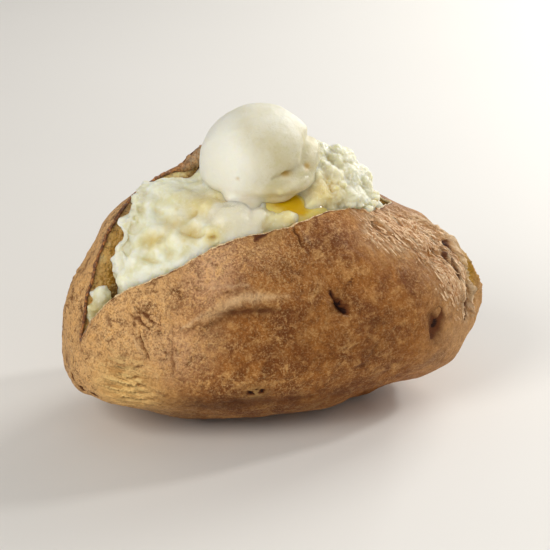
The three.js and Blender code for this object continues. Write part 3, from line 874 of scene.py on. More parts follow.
# Where the flesh stands back from the skin: turns at which each gap fades in and out.
LEFT_GAP = (120, 146, 200, 213)
BACK_GAP = (20, 60, 95, 125)
LEFT_GAP_DEPTH = 8.5
BACK_GAP_DEPTH = 4.0
CUT_BELOW_FLESH = 1.6

# Spots of the peel that are yellower, rosier or in shade: strength, place and reach.
OCHRE_SPOTS = [
    (1.0, (-52, -27, 21), (10, 9, 8)), (0.7, (-12, -22, 65), 6), (0.15, (-38, -28, 9), 13),
    (0.8, (-15.8, -38, 20), 2.6),
]
ROSY_SPOTS = [(0.9, (-27.4, -31.6, 54), 7), (0.5, (-38, -34, 34), 9)]
SHADY_SPOTS = [
    (0.25, (-2, -34, 55), (13, 9, 7)), (0.85, (42.2, -30, 31.6), (2.7, 3, 4.8)),
    (0.5, (10.6, -37, 44.2), 3.4), (0.35, (-16.1, -38, 20), 4), (0.65, (-24, -34, 16), (15, 9, 4)),
    (0.5, (4, -33, 12), (18, 9, 5)), (0.3, (-40, -26, 8), (17, 10, 5.5)), (0.25, (2, -37, 36), (22, 9, 10)),
    (0.4, (20.9, -37, 37.3), 2.2), (0.3, (20.2, -37.4, 29), 3),
]
# Painted shade low on the left belly, where the paler tan of the left end is held back.
BELLY_SHADE_SPOT = (0.85, (-38, -33, 20.5), (11, 9, 7.5))
GOLDEN_SPOT = (1.8, POCKET, (4.0, 5.0, 5.4))
CREASED_SPOT = (1.0, (-52, -27, 23.5), (8.5, 8, 7))


def gap_share(turn, gap):
    """1 at the turns where a gap is open, 0 where it is shut."""
    at = np.mod(turn, FULL_TURN)
    return smoothstep(at, gap[0], gap[1]) * (1 - smoothstep(at, gap[2], gap[3]))


def column_turns(columns, focus=0.0):
    """Turns of the columns, which a focus above 0 draws closer together at the front."""
    fine = np.linspace(0, FULL_TURN, FINE_TURNS)
    density = 1 + focus * np.cos(np.radians(fine[:-1] + TIP_TURN - FOCUS_TURN))
    share = np.concatenate([[0.0], np.cumsum(density)])
    return TIP_TURN + np.interp(np.arange(columns) / columns, share / share[-1], fine)


def ragged_rim(turns):
    """The rim's angle with the small tears of a skin that was pulled open."""
    smooth = rim_angle(turns)
    return smooth + RIM_RAGGED * layered(body_point(turns, smooth), RIM_TEARS)


def peel_angles(rim, rows, power):
    """Angles of rings from just below the rim down to just short of the bottom pole."""
    share = (np.arange(rows) / rows)[:, None] ** power
    return mix(rim + PEEL_START, HALF_TURN, share)


def flaky_share(points):
    """How much the peel flakes: most at the right end and on the shoulder, in patches."""
    flaky = np.maximum(line_share(points, FLAKY_END), 0.8 * line_share(points, FLAKY_SHOULDER))
    return np.clip(1.5 * flaky * (0.75 + 0.9 * fractal(points, 9, 75)), 0, 1)


def peel_tones(points, from_rim, relief, burn_and_crease_shade, ridge_highlight):
    """Where the peel is paler, yellower, rosier, rougher or scorched, and where painted light and painted
    shade fall on it.
    """
    x, y, z = points.T
    drift = 9 * fractal(points, 22, 71)
    lively = smoothstep(fractal(points, 11, 77), -0.5, 0.5)
    fold_painted_highlight = line_share(points, FOLD_PAINTED_HIGHLIGHT)

    # Paler towards the left end, less so low down and in the belly spot, which is painted shade there.
    left = smoothstep(-x + drift - 0.5 * np.clip(38 - z, 0, 14), 19, 46) * (1 - blobs(points, [BELLY_SHADE_SPOT]))
    # Painted light: the right end, and most of all its top, made paler tan where light from behind on the
    # right falls.
    right = 0.75 * smoothstep(x + drift, 34, 58)
    high = 0.7 * smoothstep(z + drift, 50, 68) * smoothstep(x, 12, 36)
    behind = 0.5 * smoothstep(y + drift, 0, 30)

    ochre = blobs(points, OCHRE_SPOTS)
    golden = np.clip(blobs(points, [GOLDEN_SPOT]), 0, 0.92)
    band = smoothstep(-np.abs(z - 56 + 0.25 * x), -9, -2) * smoothstep(-y, 18, 26)
    rosy = blobs(points, ROSY_SPOTS) + 0.45 * band * smoothstep(-x + drift, 6, 22)
    shade = blobs(points, SHADY_SPOTS) + 0.5 * line_share(points, FOLD_PAINTED_SHADE)
    # Painted highlight on raised relief, stronger towards the right end.
    ridge = smoothstep(relief, 0.25, 1.4) * (0.2 + 0.4 * smoothstep(x, 15, 45))
    dried = 0.75 * smoothstep(-from_rim, -1.5, 0.3) * smoothstep(noise(points, 6, 73), -0.5, 0.4)

    pale = 0.45 * left + 0.4 * smoothstep(z + 0.3 * x, 40, 56) * smoothstep(-x + drift, -10, 20)
    rough = (1 - 0.85 * np.clip(ochre, 0, 1)) * (1 - 0.4 * smoothstep(x, 5, 35))
    return {
        # tan: paler left end and back, and painted light on the right end, its top and the front fold.
        "tan": np.maximum.reduce([left, right, high, behind, 0.95 * fold_painted_highlight]),
        "ochre": ochre,
        "rosy": rosy,
        "golden": golden,
        # hollow: painted shade in the relief's hollows, in the shady spots and under the front fold.
        "hollow": np.clip(-relief * 0.45 - 0.12, 0, 0.5) + shade,
        # ridge: painted highlights on raised relief, on ridge marks and along the front fold.
        "ridge": np.maximum.reduce([ridge, 0.8 * ridge_highlight, 0.35 * fold_painted_highlight]),
        "flaky": flaky_share(points) * (1 - golden),
        "creased": blobs(points, [CREASED_SPOT]),
        "speckled": (0.04 + 0.42 * pale) * (0.5 + lively) * rough,
        "grainy": (0.36 + 0.54 * pale) * (0.7 + 0.5 * lively) * rough,
        "mottled": (0.46 + 0.25 * lively + 0.3 * left) * rough,
        # Dark marks: scorched in the eyes and along the dried rim, painted shade in the creases.
        "burn_and_crease_shade": np.maximum(burn_and_crease_shade, dried),
    }


def make_peel():
    turns = column_turns(PEEL_COLUMNS, PEEL_FOCUS)
    rim = ragged_rim(turns)
    angles = np.concatenate([
        peel_angles(rim, PEEL_INNER_ROWS, PEEL_INNER_POWER)[::-1],
        [rim + beyond for beyond, _ in PEEL_EDGE],
        peel_angles(rim, PEEL_OUTER_ROWS, PEEL_OUTER_POWER),
    ])
    edge_depths = [depth for _, depth in PEEL_EDGE]
    depths = np.array([PEEL] * PEEL_INNER_ROWS + edge_depths + [0.0] * PEEL_OUTER_ROWS)[:, None]
    base = wall_point(turns, angles)
    relief, burn_and_crease_shade, ridge_highlight = skin_detail(base)
    rings = wall_point(turns, angles, relief - depths)
    floor_level = np.where(depths > edge_depths[-1], PEEL, 0.0)
    rings[..., 2] = np.maximum(rings[..., 2], floor_level)
    foot = wall_point(0.0, HALF_TURN) * (1, 1, 0)
    mesh = make_mesh("peel", *ringed_solid(foot + (0, 0, PEEL), rings, foot))
    from_rim = with_poles(angles - rim_angle(turns), HALF_TURN, HALF_TURN)
    shown = [with_poles(values) for values in (relief, burn_and_crease_shade, ridge_highlight)]
    set_attributes(mesh, **peel_tones(with_poles(base, foot, foot), from_rim, *shown))
    finish_piece("peel", mesh, peel_material(), ("skin",))


def cut_depth(turn):
    """How far below the skin the cut face of the opening shows, which is most at the left end."""
    left = (LEFT_GAP_DEPTH + CUT_BELOW_FLESH) * gap_share(turn, LEFT_GAP)
    return LINING_TO + left + (BACK_GAP_DEPTH + CUT_BELOW_FLESH) * gap_share(turn, BACK_GAP)


def make_lining():
    """Golden flesh stuck to the inside of the peel and on the cut face, torn along its edge."""
    turns = column_turns(LINING_COLUMNS)
    along = body_point(turns, rim_angle(turns))
    tear = 0.35 + 0.7 * smoothstep(noise(along, 7, 79), -0.4, 0.5)
    cut = cut_depth(turns)
    share = (np.arange(LINING_ROWS) / (LINING_ROWS - 1))[:, None]
    down = (np.arange(1, CUT_ROWS) / CUT_ROWS)[:, None]
    reach = LINING_REACH * share ** 1.2
    thick = mix(cut, LINING_TO, smoothstep(share, 0.0, 0.35))
    angles = ragged_rim(turns) + tear + np.concatenate([reach[::-1], 0 * down, reach])
    depth = np.concatenate([np.full_like(thick, LINING_FROM), mix(LINING_FROM, cut, down), thick])
    base = wall_point(turns, angles, -depth)
    torn = 0.9 * fractal(base, 4.2, 83) + 0.6 * np.abs(noise(base, 1.8, 89))
    face = smoothstep(depth, LINING_FROM, LINING_FROM + 1.2)
    on_cut = bell(np.arange(len(angles))[:, None], LINING_ROWS + 0.5 * CUT_ROWS, 0.75 * CUT_ROWS)
    angles = angles - face * on_cut * (0.3 + 1.1 * torn) * smoothstep(cut, 3, 7)
    relief = skin_detail(wall_point(turns, angles))[0]
    rings = wall_point(turns, angles, relief - depth - face * (1 - on_cut) * torn)
    mesh = make_mesh("lining", rings.reshape(-1, 3), ring_quads(*angles.shape, closed=True))
    band = bell(np.mod(turns, FULL_TURN), LIP_ROLL_TURN + 10, 14) * bell(depth, 2.2, 1.5) * on_cut
    set_attributes(
        mesh, deep=smoothstep(depth / cut, 0.1, 0.9),
        edge=on_cut * smoothstep(-depth, -1.3, -0.75) + 0.15 * smoothstep(noise(base, 6, 97), 0.1, 0.5),
        flesh=0.6 * smoothstep(torn, 0.45, 1.0) + 0.9 * band)
    finish_piece("lining", mesh, lining_material(), ("skin",))


LIP_COLUMNS = 900
LIP_SIDES = 10
LIP_THICK = 0.26
LIP_CHARRED = (20, 60, 192, 208)


def make_lip():
    """The dried, torn edge of the skin, a thin roll that is thickest behind the scoop."""
    turns = column_turns(LIP_COLUMNS)
    rim = ragged_rim(turns)
    along = wall_point(turns, rim)
    charred = gap_share(turns, LIP_CHARRED)
    behind = bell(np.mod(turns, FULL_TURN), LIP_ROLL_TURN, LIP_ROLL_SPREAD)
    lumpy = 1 + 0.5 * noise(along, 2.6, 157) + 0.4 * noise(along, 1.1, 163)
    thick = LIP_THICK * (1 + 0.9 * charred) * lumpy + LIP_ROLL * behind * (0.75 + 0.35 * lumpy)
    relief = skin_detail(along)[0]
    middle = wall_point(turns, rim, relief - 0.5 * PEEL - 1.3 * LIP_ROLL * behind)
    forward = unit(np.roll(middle, -1, axis=0) - np.roll(middle, 1, axis=0))
    outward = middle - CORE
    outward = unit(outward - forward * np.sum(outward * forward, axis=1, keepdims=True))
    inward = np.cross(forward, outward)
    sides = np.radians(np.arange(LIP_SIDES) * FULL_TURN / LIP_SIDES)[None, :, None]
    around = thick[:, None, None] * (np.cos(sides) * outward[:, None] + np.sin(sides) * inward[:, None])
    rings = middle[:, None] + around
    rings = rings + 0.35 * noise(rings, 1.2, 167)[..., None] * around
    mesh = make_mesh("lip", rings.reshape(-1, 3), ring_quads(LIP_COLUMNS, LIP_SIDES, closed=True))
    set_attributes(mesh, charred=np.repeat(charred * (1 - 0.4 * behind), LIP_SIDES))
    finish_piece("lip", mesh, lip_material())


FLAKE_COUNT = 1650
FLAKE_TRIES = 12 * FLAKE_COUNT
FLAKE_STEPS = 9
FLAKE_TURNS = (-75.0, 50.0)
FLAKE_ANGLES = (44.0, 108.0)
FLAKE_HALF_LENGTH = (0.5, 3.6)
FLAKE_HALF_WIDTH = (0.14, 0.48)
FLAKE_HEIGHT = (0.10, 0.34)
FLAKE_ROOT = 0.3
BARE_SPOT = (2.2, POCKET, (4.2, 5.4, 6))


def steps_along(turn, angle, along):
    """Change of turn and of angle that moves a point on the skin by a millimetre along a direction."""
    here = wall_point(turn, angle)
    by_turn = wall_point(turn + 1, angle) - here
    by_angle = wall_point(turn, angle + 1) - here
    tt, ta, aa, t, a = [np.sum(first * second, axis=-1) for first, second in (
        (by_turn, by_turn), (by_turn, by_angle), (by_angle, by_angle), (along, by_turn), (along, by_angle))]
    step = np.stack([aa * t - ta * a, tt * a - ta * t], axis=-1) / (tt * aa - ta * ta)[..., None]
    moved = np.linalg.norm(step[..., :1] * by_turn + step[..., 1:] * by_angle, axis=-1)
    return step / moved[..., None]


def make_flakes():
    """Papery slivers of dried skin that stand up along the folds of the right end."""
    turn = random.uniform(*FLAKE_TURNS, FLAKE_TRIES)
    angle = random.uniform(*FLAKE_ANGLES, FLAKE_TRIES)
    place = wall_point(turn, angle)
    # Flakes keep off the dark marks: scorched eyes and painted shade in the creases.
    dark_marks = skin_detail(place)[1]
    chance = 0.62 * flaky_share(place) ** 1.9 * (1 - smoothstep(dark_marks, 0.05, 0.22))
    chance *= 1 - np.clip(blobs(place, [BARE_SPOT]), 0, 1)
    wanted = (angle > rim_angle(turn) + 2.0) & (random.uniform(0, 1, FLAKE_TRIES) < chance)
    turn, angle, place = turn[wanted][:FLAKE_COUNT], angle[wanted][:FLAKE_COUNT], place[wanted][:FLAKE_COUNT]
    count = len(turn)
    sway = np.stack([noise(place, 7, 191 + axis) for axis in range(3)], axis=-1)
    along = np.array(FLAKES_ALONG) + 0.55 * sway + random.normal(size=(count, 3)) * 0.12
    step = steps_along(turn, angle, unit(along))
    half = mix(*FLAKE_HALF_LENGTH, random.uniform(0, 1, count) ** 2) * mix(0.4, 1, flaky_share(place))
    share = np.linspace(-1, 1, FLAKE_STEPS + 2)[None]
    turns = turn[:, None] + share * half[:, None] * step[:, :1]
    angles = angle[:, None] + share * half[:, None] * step[:, 1:]
    relief = skin_detail(wall_point(turns, angles))[0]
    lift = 0.35 * random.uniform(0, 1, (count, 1)) ** 2 * (0.5 + 0.5 * share)
    middle = wall_point(turns, angles, relief + lift)
    outward = unit(middle - CORE)
    aside = unit(np.cross(outward, np.gradient(middle, axis=1)))
    taper = np.sqrt(np.clip(1 - share ** 2, 0, 1))[..., None]
    wide = taper * mix(*FLAKE_HALF_WIDTH, random.uniform(0, 1, (count, 1, 1)) ** 1.4)
    high = taper * mix(*FLAKE_HEIGHT, random.uniform(0, 1, (count, 1, 1)))
    around = (wide * aside, high * outward, -wide * aside, -FLAKE_ROOT * taper * outward)
    rings = np.stack([middle + away for away in around], axis=2)[:, 1:-1]
    points = np.concatenate([middle[:, :1], rings.reshape(count, -1, 3), middle[:, -1:]], axis=1)
    size = points.shape[1]
    one = capped_faces(FLAKE_STEPS, len(around))
    faces = [tuple(size * index + corner for corner in face) for index in range(count) for face in one]
    mesh = make_mesh("flakes", points.reshape(-1, 3), faces)
    shape = bmesh.new()
    shape.from_mesh(mesh)
    bmesh.ops.recalc_face_normals(shape, faces=shape.faces)
    shape.to_mesh(mesh)
    shape.free()
    set_attributes(mesh, pale=np.repeat(random.uniform(0, 1, count), size))
    finish_piece("flakes", mesh, flake_material())


# ---------------------------------------------------------------------------- flesh

HEAP_COLUMNS, HEAP_ROWS = 300, 90

# Rises and hollows of the heap: middle, spread and height.
HILLS = [
    ((14, 3), (15, 15), 8.8),
    ((-37, 3), (9, 9), 3.8),
    ((-53.5, -13), (3.5, 4.5), 5.0),
    ((2, -17), (24, 10), 1.5),
    ((-17, 9), (15, 16), -9.0),
]

# The heap's level above the potato's own surface, and how it falls off towards both ends.
FLESH_LEVEL = -1.0
LEFT_FALL, LEFT_FALL_SKEW, LEFT_FALL_RANGE = 9.0, 0.29, (43.5, 50.5)
RIGHT_FALL, RIGHT_FALL_RANGE = 2.0, (20, 36)

# The level of its edge, and the bank between the two: how far from the rim it starts, how wide it is, and
# what the gap on the left and the one at the back add to that.
EDGE_LEVEL = -0.8
BANK_START, BANK_START_LEFT = 0.5, 2.6
BANK_WIDTH, BANK_WIDTH_LEFT, BANK_WIDTH_BACK = 4.3, 1.0, 2.5
FLESH_INSET = 1.6

# Lumps, spread evenly over the heap: their number, how far they reach, their sizes and their heights.
GOLDEN_ANGLE = 137.508
LUMP_COUNT = 170
LUMP_FIELD = 52.0
LUMP_RADIUS = (3.8, 8.2)
LUMP_RISE = (1.0, 5.0)

# Melted butter on the heap, seen from above: a sloping pool before the scoop, and a creamy lobe that
# has run down to the front lip.
Spread = namedtuple("Spread", "middle half")
POOL = Spread((0.6, -17.2), (8.4, 4.2))
POOL_DIP = 3.8
POOL_LEVEL = 70.1
POOL_SLOPE = 0.5
POOL_FALL = -0.13
LOBE = Spread((-16.6, -22.0), (8.8, 5.2))
LOBE_RISE = 1.4

# Places that butter has soaked into: middle, reach and strength.
SOAKED = [
    ((-1, -18.5, 69.5), 8.5, 0.95),
    ((10.6, -16.4, 72), 7, 1),
    ((-9.9, -24.3, 66.1), 4.5, 0.75),
    ((-1.2, -22.9, 66.4), 5, 0.75),
    ((-40.9, -17.9, 62.6), 3, 0.95),
    ((-31, -22.4, 66), 3.6, 0.95),
    ((-25.2, -26.1, 64.9), 2.8, 0.9),
    ((-34.4, -17.6, 67), 4, 0.85),
    ((-28, -16, 70), 6, 0.5),
    ((-17, -21.5, 70), 5, 0.4),
    ((-23, -15, 72), 8, 0.9),
    ((-21, -25.5, 67), 2.2, 0.6),
    ((-13, -24.6, 66.6), 3, 0.6),
]

# The heap swells a little where it rests on the front lip.
FRONT_LIP = (216, 232, 320, 340)
FRONT_SWELL, FRONT_SWELL_AT, FRONT_SWELL_SPREAD = 1.1, 5.0, 4.0

# A damp hollow under the brink.
DAMP_SPOT = (1.0, (-56.4, -13.0, 40.6), (6, 6, 4.4))

# The hidden body of the heap: its wall goes past the rim by these angles and down by these depths.
SLAB_DEPTH = 15.0
SLAB_WALL = [(0.6, 0.0), (3.0, 1.0), (8.0, 2.0)]
SLAB_UNDER_REACH, SLAB_UNDER_ROWS = 6.0, 9
SLAB_INSET, SLAB_CLEARANCE = 0.2, 0.8

# The crumbs of the heap: half sizes, how unequal the three of a crumb are, how dented it is, how far
# from the rim they stay, and what share of them is left where they are fewest.
CRUMB_COUNT = 2600
CRUMB_SIZE, CRUMB_STRETCH, CRUMB_ROUGH = (0.35, 0.7), (0.65, 1.35), 0.45
CRUMB_RIM_GAP = 1.5
CRUMB_FEWEST = 0.1
FLESH_VOXEL = 0.5

# Rounds of smoothing of the voxels, of what is soft, of the directions in which it swells, and of the
# surface that hollows are measured from.
RELAX_VOXELS, RELAX_SOFT, RELAX_SWELL, RELAX_HOLLOWS = 2, 14, 3, 30

# Clefts between the fluffed layers of the heap, and rises where it is built up.
CLEFTS = [Mark(*row) for row in (
    ([(-47, -12, 60), (-40.9, -17.9, 62.6), (-35, -19.6, 65), (-31, -22.4, 66), (-25.2, -26.1, 64.9)],
     2, -1.9),
    ([(-38, -6, 69.5), (-34.4, -16.6, 67.6), (-26, -18, 69)], 2.6, -1.2),
    ([(-44.5, -19.5, 57), (-40, -24, 58.5), (-33, -27, 60.5)], 1.4, -0.9),
    ([(-44.6, -8.8, 66), (-46.8, -10.8, 63), (-49.3, -13.9, 59.8), (-50, -16, 57)], 2.4, -2.5),
    ([(-3, -22.8, 67.4), (0.5, -22.4, 67), (4, -22, 67.2)], 2.6, 1.4),
    ([(-8, -21.6, 69), (-4, -20.8, 69)], 2.4, -0.9),
    ([(14, -15, 71.5), (17, -8, 76), (15.5, -2, 79)], 3, -1.2),
    ([(24, -12, 67), (26, -5, 71), (24, 2, 74)], 2, -0.9),
)]

# Where the heap breaks off at the left.
LEFT_BRINK = Mark([
    (-36.6, 6, 70.6), (-40, -1, 71), (-42.4, -6.4, 69.4), (-44.6, -8.6, 65.6), (-46.4, -11, 62),
    (-48.4, -12.4, 58.4), (-49.9, -12.9, 55), (-50.8, -13.4, 51)], 3.0)
BRINK_CRUMBS = 380
BRINK_SIZE, BRINK_STRETCH, BRINK_ROUGH = (0.35, 0.9), (0.7, 1.4), 0.5
BRINK_SCATTER = np.array([0.8, 1.2, 0.8])

# Crumbs that hang over the edges of the opening: place and half sizes.
STRAY_ROUGH = 0.4
STRAY_CRUMBS = [
    ((-55.4, -12.6, 44.4), (2.2, 2.1, 3.2)),
    ((-54, -12.2, 47.4), (1.2, 0.8, 0.8)),
    ((-55.4, -12.6, 47.2), (0.9, 0.8, 1)),
    ((-53.2, -12.4, 45.6), (1.1, 0.9, 1.1)),
    ((-57, -13, 40.8), (1.8, 2, 3.2)),
    ((-58.4, -12.8, 38.4), (1.2, 1.4, 2.2)),
    ((-55, -12.4, 41), (2.7, 2.3, 3.4)),
    ((-53, -12.2, 40), (3, 2.4, 3)),
    ((-51, -12.2, 56.6), (0.9, 0.8, 0.7)),
    ((-51.8, -11.8, 55.4), (0.8, 0.7, 0.7)),
    ((-50.6, -12.2, 53.6), (0.9, 0.8, 0.9)),
    ((-56.4, -9.4, 50.8), (0.9, 0.7, 1.7)),
    ((-43, -7.4, 68), (1.1, 0.9, 0.8)),
    ((19.4, -16.8, 66.6), (1, 0.7, 0.8)),
    ((23, -15.6, 66), (0.9, 0.6, 0.7)),
    ((25.4, -15.2, 64.6), (0.8, 0.6, 1)),
    ((27.6, -12.6, 64.6), (1, 0.8, 0.9)),
    ((30.2, -8.4, 65.2), (1.2, 1.1, 1)),
]


def flesh_level(turn, angle):
    """How far the flesh's top lies above the potato's own surface."""
    point = body_point(turn, angle)
    x, y = point[..., 0], point[..., 1]
    heap = FLESH_LEVEL - LEFT_FALL * smoothstep(LEFT_FALL_SKEW * y - x, *LEFT_FALL_RANGE)
    heap = heap - RIGHT_FALL * smoothstep(x, *RIGHT_FALL_RANGE)
    for middle, spread, rise in HILLS:
        heap = heap + rise * bell(x, middle[0], spread[0]) * bell(y, middle[1], spread[1])
    left_gap = gap_share(turn, LEFT_GAP)
    back_gap = gap_share(turn, BACK_GAP)
    edge = EDGE_LEVEL - LEFT_GAP_DEPTH * left_gap - BACK_GAP_DEPTH * back_gap
    start = BANK_START + BANK_START_LEFT * left_gap
    end = start + BANK_WIDTH + BANK_WIDTH_LEFT * left_gap + BANK_WIDTH_BACK * back_gap
    return mix(edge, heap, smoothstep(rim_angle(turn) - angle, start, end))


def lump_rise(points):
    """Height of the tallest lump at a place on the heap, between deep clefts."""
    index = np.arange(LUMP_COUNT)
    centres = body_point(index * GOLDEN_ANGLE, LUMP_FIELD * np.sqrt((index + 0.5) / LUMP_COUNT))
    highest = np.zeros(points.shape[:-1])
    for centre, size, height in zip(centres, scatter(index, 1), scatter(index, 2)):
        share = np.linalg.norm(points - centre, axis=-1) / mix(*LUMP_RADIUS, size)
        highest = np.maximum(highest, mix(*LUMP_RISE, height) * (1 - share * share))
    return highest


def heap_offset(turn, angle):
    fade = smoothstep(rim_angle(turn) - angle, FLESH_INSET, 3 * FLESH_INSET)
    points = body_point(turn, angle)
    middle, half = POOL.middle, POOL.half
    dip = POOL_DIP * bell(points[..., 0], middle[0], half[0]) * bell(points[..., 1], middle[1], half[1])
    return flesh_level(turn, angle) - dip + fade * (lump_rise(points) - LUMP_RISE[0])


def heap_point(turn, angle, lift=0.0):
    return wall_point(turn, angle, heap_offset(turn, angle) + lift)


def heap_slab():
    """The heap's top and a hidden underside, as one closed solid."""
    turns = column_turns(HEAP_COLUMNS)
    rim = rim_angle(turns)
    angles = (rim - FLESH_INSET) * ((np.arange(HEAP_ROWS) + 1) / HEAP_ROWS)[:, None]
    near_lip = bell(rim - angles, FRONT_SWELL_AT, FRONT_SWELL_SPREAD) * gap_share(turns, FRONT_LIP)
    top = heap_point(turns, angles, FRONT_SWELL * near_lip - SLAB_INSET)
    floor = np.minimum(heap_offset(turns, angles[-1]), -LINING_TO - SLAB_CLEARANCE)
    wall = [wall_point(turns, rim + beyond, floor - below) for beyond, below in SLAB_WALL]
    under_angles = (rim + SLAB_UNDER_REACH) * np.linspace(0.9, 0.1, SLAB_UNDER_ROWS)[:, None]
    under = wall_point(turns, under_angles, -SLAB_DEPTH)
    bottom = wall_point(0.0, 0.0, -SLAB_DEPTH)
    return ringed_solid(heap_point(0.0, 0.0), np.concatenate([top, wall, under]), bottom)


def ball(fineness):
    """Unit ball of 42 points at fineness 2, and four times the faces for each step more."""
    shape = bmesh.new()
    bmesh.ops.create_icosphere(shape, subdivisions=fineness, radius=1)
    points = np.array([vertex.co for vertex in shape.verts])
    faces = [tuple(vertex.index for vertex in face.verts) for face in shape.faces]
    shape.free()
    return points, faces


def random_turns(count):
    """Random rotation matrices."""
    quaternions = random.normal(size=(count, 4))
    quaternions /= np.linalg.norm(quaternions, axis=1, keepdims=True)
    w, x, y, z = quaternions.T
    return np.array([
        [1 - 2 * (y * y + z * z), 2 * (x * y - w * z), 2 * (x * z + w * y)],
        [2 * (x * y + w * z), 1 - 2 * (x * x + z * z), 2 * (y * z - w * x)],
        [2 * (x * z - w * y), 2 * (y * z + w * x), 1 - 2 * (x * x + y * y)],
    ]).transpose(2, 0, 1)


def crumbs(centres, sizes, rough, fineness=2):
    """Irregular lumps: balls with their own three half sizes, turned at random and dented."""
    ball_points, ball_faces = ball(fineness)
    turned = random_turns(len(centres))
    local = np.einsum("nij,nkj->nki", turned, ball_points[None] * sizes[:, None, :])
    points = centres[:, None, :] + local
    dent = noise(points * 1.7, 1.6, 101)[..., None]
    points = centres[:, None, :] + local * (1 + rough * 2 * dent)
    return [(lump, ball_faces) for lump in points]


def heap_crumbs():
    """Small crumbs over the heap, most of them on its mealy right mound and near the edge."""
    tries = 3 * CRUMB_COUNT
    turn = random.uniform(0, FULL_TURN, tries)
    reach = rim_angle(turn) - CRUMB_RIM_GAP
    keep = random.uniform(0, 1, tries) < (reach / RIM[:, 1].max()) ** 2
    turn, reach = turn[keep], reach[keep]
    angle = reach * np.sqrt(random.uniform(0, 1, len(turn)))
    turn, angle = turn[:CRUMB_COUNT], angle[:CRUMB_COUNT]
    mealy = smoothstep(heap_point(turn, angle)[:, 0], 4, 18)
    by_edge = smoothstep(angle / rim_angle(turn), 0.72, 0.9)
    kept = random.uniform(0, 1, len(turn)) < mix(CRUMB_FEWEST, 1, np.maximum(mealy, 0.4 * by_edge))
    turn, angle, mealy = turn[kept], angle[kept], mealy[kept]
    size = mix(*CRUMB_SIZE, random.uniform(0, 1, len(turn)) ** 1.6)
    centres = heap_point(turn, angle, mix(-0.6, -0.4, mealy) * size)
    return crumbs(centres, size[:, None] * random.uniform(*CRUMB_STRETCH, (len(turn), 3)), CRUMB_ROUGH)


def stray_crumbs():
    places, halves = np.array(STRAY_CRUMBS).transpose(1, 0, 2)
    return crumbs(places, halves, STRAY_ROUGH, 3)


def brink_crumbs():
    """Small crumbs along the left brink of the heap."""
    brink = np.array(LEFT_BRINK.points, dtype=float)
    at = random.uniform(0, len(brink) - 1.01, BRINK_CRUMBS)
    first = at.astype(int)
    centres = mix(brink[first], brink[first + 1], (at - first)[:, None])
    centres += random.normal(size=centres.shape) * BRINK_SCATTER
    size = mix(*BRINK_SIZE, random.uniform(0, 1, BRINK_CRUMBS) ** 2)
    return crumbs(centres, size[:, None] * random.uniform(*BRINK_STRETCH, (BRINK_CRUMBS, 3)), BRINK_ROUGH)


DOWNHILL = np.array((-0.25, -0.6, 0.76))


def tufts(points):
    """Relief of mealy potato: soft folds, which run downhill at the left front, and crisp crumbs."""
    bent = warped(points, 5.0, 1.6, 101)
    soft = 0.9 * noise(bent, 7.5, 103) + 0.45 * noise(bent, 3.2, 104)
    drawn = bent - 0.75 * (bent @ DOWNHILL)[:, None] * DOWNHILL
    flaky = 0.9 * noise(drawn, 3.6, 105) + 0.4 * np.abs(noise(drawn, 1.8, 106))
    grain = 0.22 * noise(points, 1.5, 107) + 0.14 * noise(points, 0.9, 108)
    crisp = 0.6 * noise(bent, 4.2, 110) + 0.7 * np.abs(noise(points, 1.7, 109)) - 0.25
    crisp += 0.5 * np.abs(noise(points, 1.1, 111))
    total = mix(soft, flaky, 0.6 * smoothstep(-points[:, 0], 14, 34)) + grain + mealy_share(points) * crisp
    for cleft in CLEFTS:
        total += cleft.rise * line_share(bent, cleft)
    return total


def lobe_share(points):
    """1 in the middle of the butter lobe, falling steeply to 0 at its edge."""
    bent = warped(points, 6.0, 0.9, 173)
    x = (bent[:, 0] - LOBE.middle[0]) / LOBE.half[0]
    y = (bent[:, 1] - LOBE.middle[1]) / LOBE.half[1]
    return np.clip(1 - x * x - y * y, 0, 1) ** 0.6 * smoothstep(points[:, 2], 60, 63)


def mealy_share(points):
    """The right mound and the brink on the left are crisp and crumbly, the rest soft with butter."""
    return np.maximum(smoothstep(points[:, 0], 5, 16), 0.9 * line_share(points, LEFT_BRINK))


def make_flesh():
    parts = [heap_slab()] + heap_crumbs() + stray_crumbs() + brink_crumbs()
    mesh = joined_by_voxels("flesh_crumb", parts, FLESH_VOXEL)
    edges = mesh_edges(mesh)
    points = relaxed(mesh_points(mesh), edges, RELAX_VOXELS)
    points = mix(relaxed(points, edges, RELAX_SOFT), points, mealy_share(points)[:, None])
    set_points(mesh, points)
    normals = relaxed(mesh_normals(mesh), edges, RELAX_SWELL)
    lobe = lobe_share(points)
    cream = smoothstep(lobe, 0, 0.5)
    creamy = LOBE_RISE * lobe + 0.35 * noise(points, 4.5, 179)
    points = points + normals * mix(tufts(points), creamy, cream)[:, None]
    set_points(mesh, points)
    height = np.sum((points - relaxed(points, edges, RELAX_HOLLOWS)) * mesh_normals(mesh), axis=1)
    # Painted shade in the clefts: yellowish where the heap lies below its smoothed surface.
    cavity = 0.7 * smoothstep(-height, 0.05, 0.8)
    soak = 0.2 * cavity * smoothstep(fractal(points, 9, 109), 0.05, 0.45)
    for centre, reach, strength in SOAKED:
        soak = np.maximum(soak, strength * blob(points, centre, reach) * (0.7 + 0.5 * cavity))
    set_attributes(mesh, cavity=cavity, soak=soak, cream=cream, mealy=mealy_share(points),
                   damp=blobs(points, [DAMP_SPOT]))
    finish_piece("flesh_crumb", mesh, flesh_material(), ("flesh",))


# ---------------------------------------------------------------------------- butter

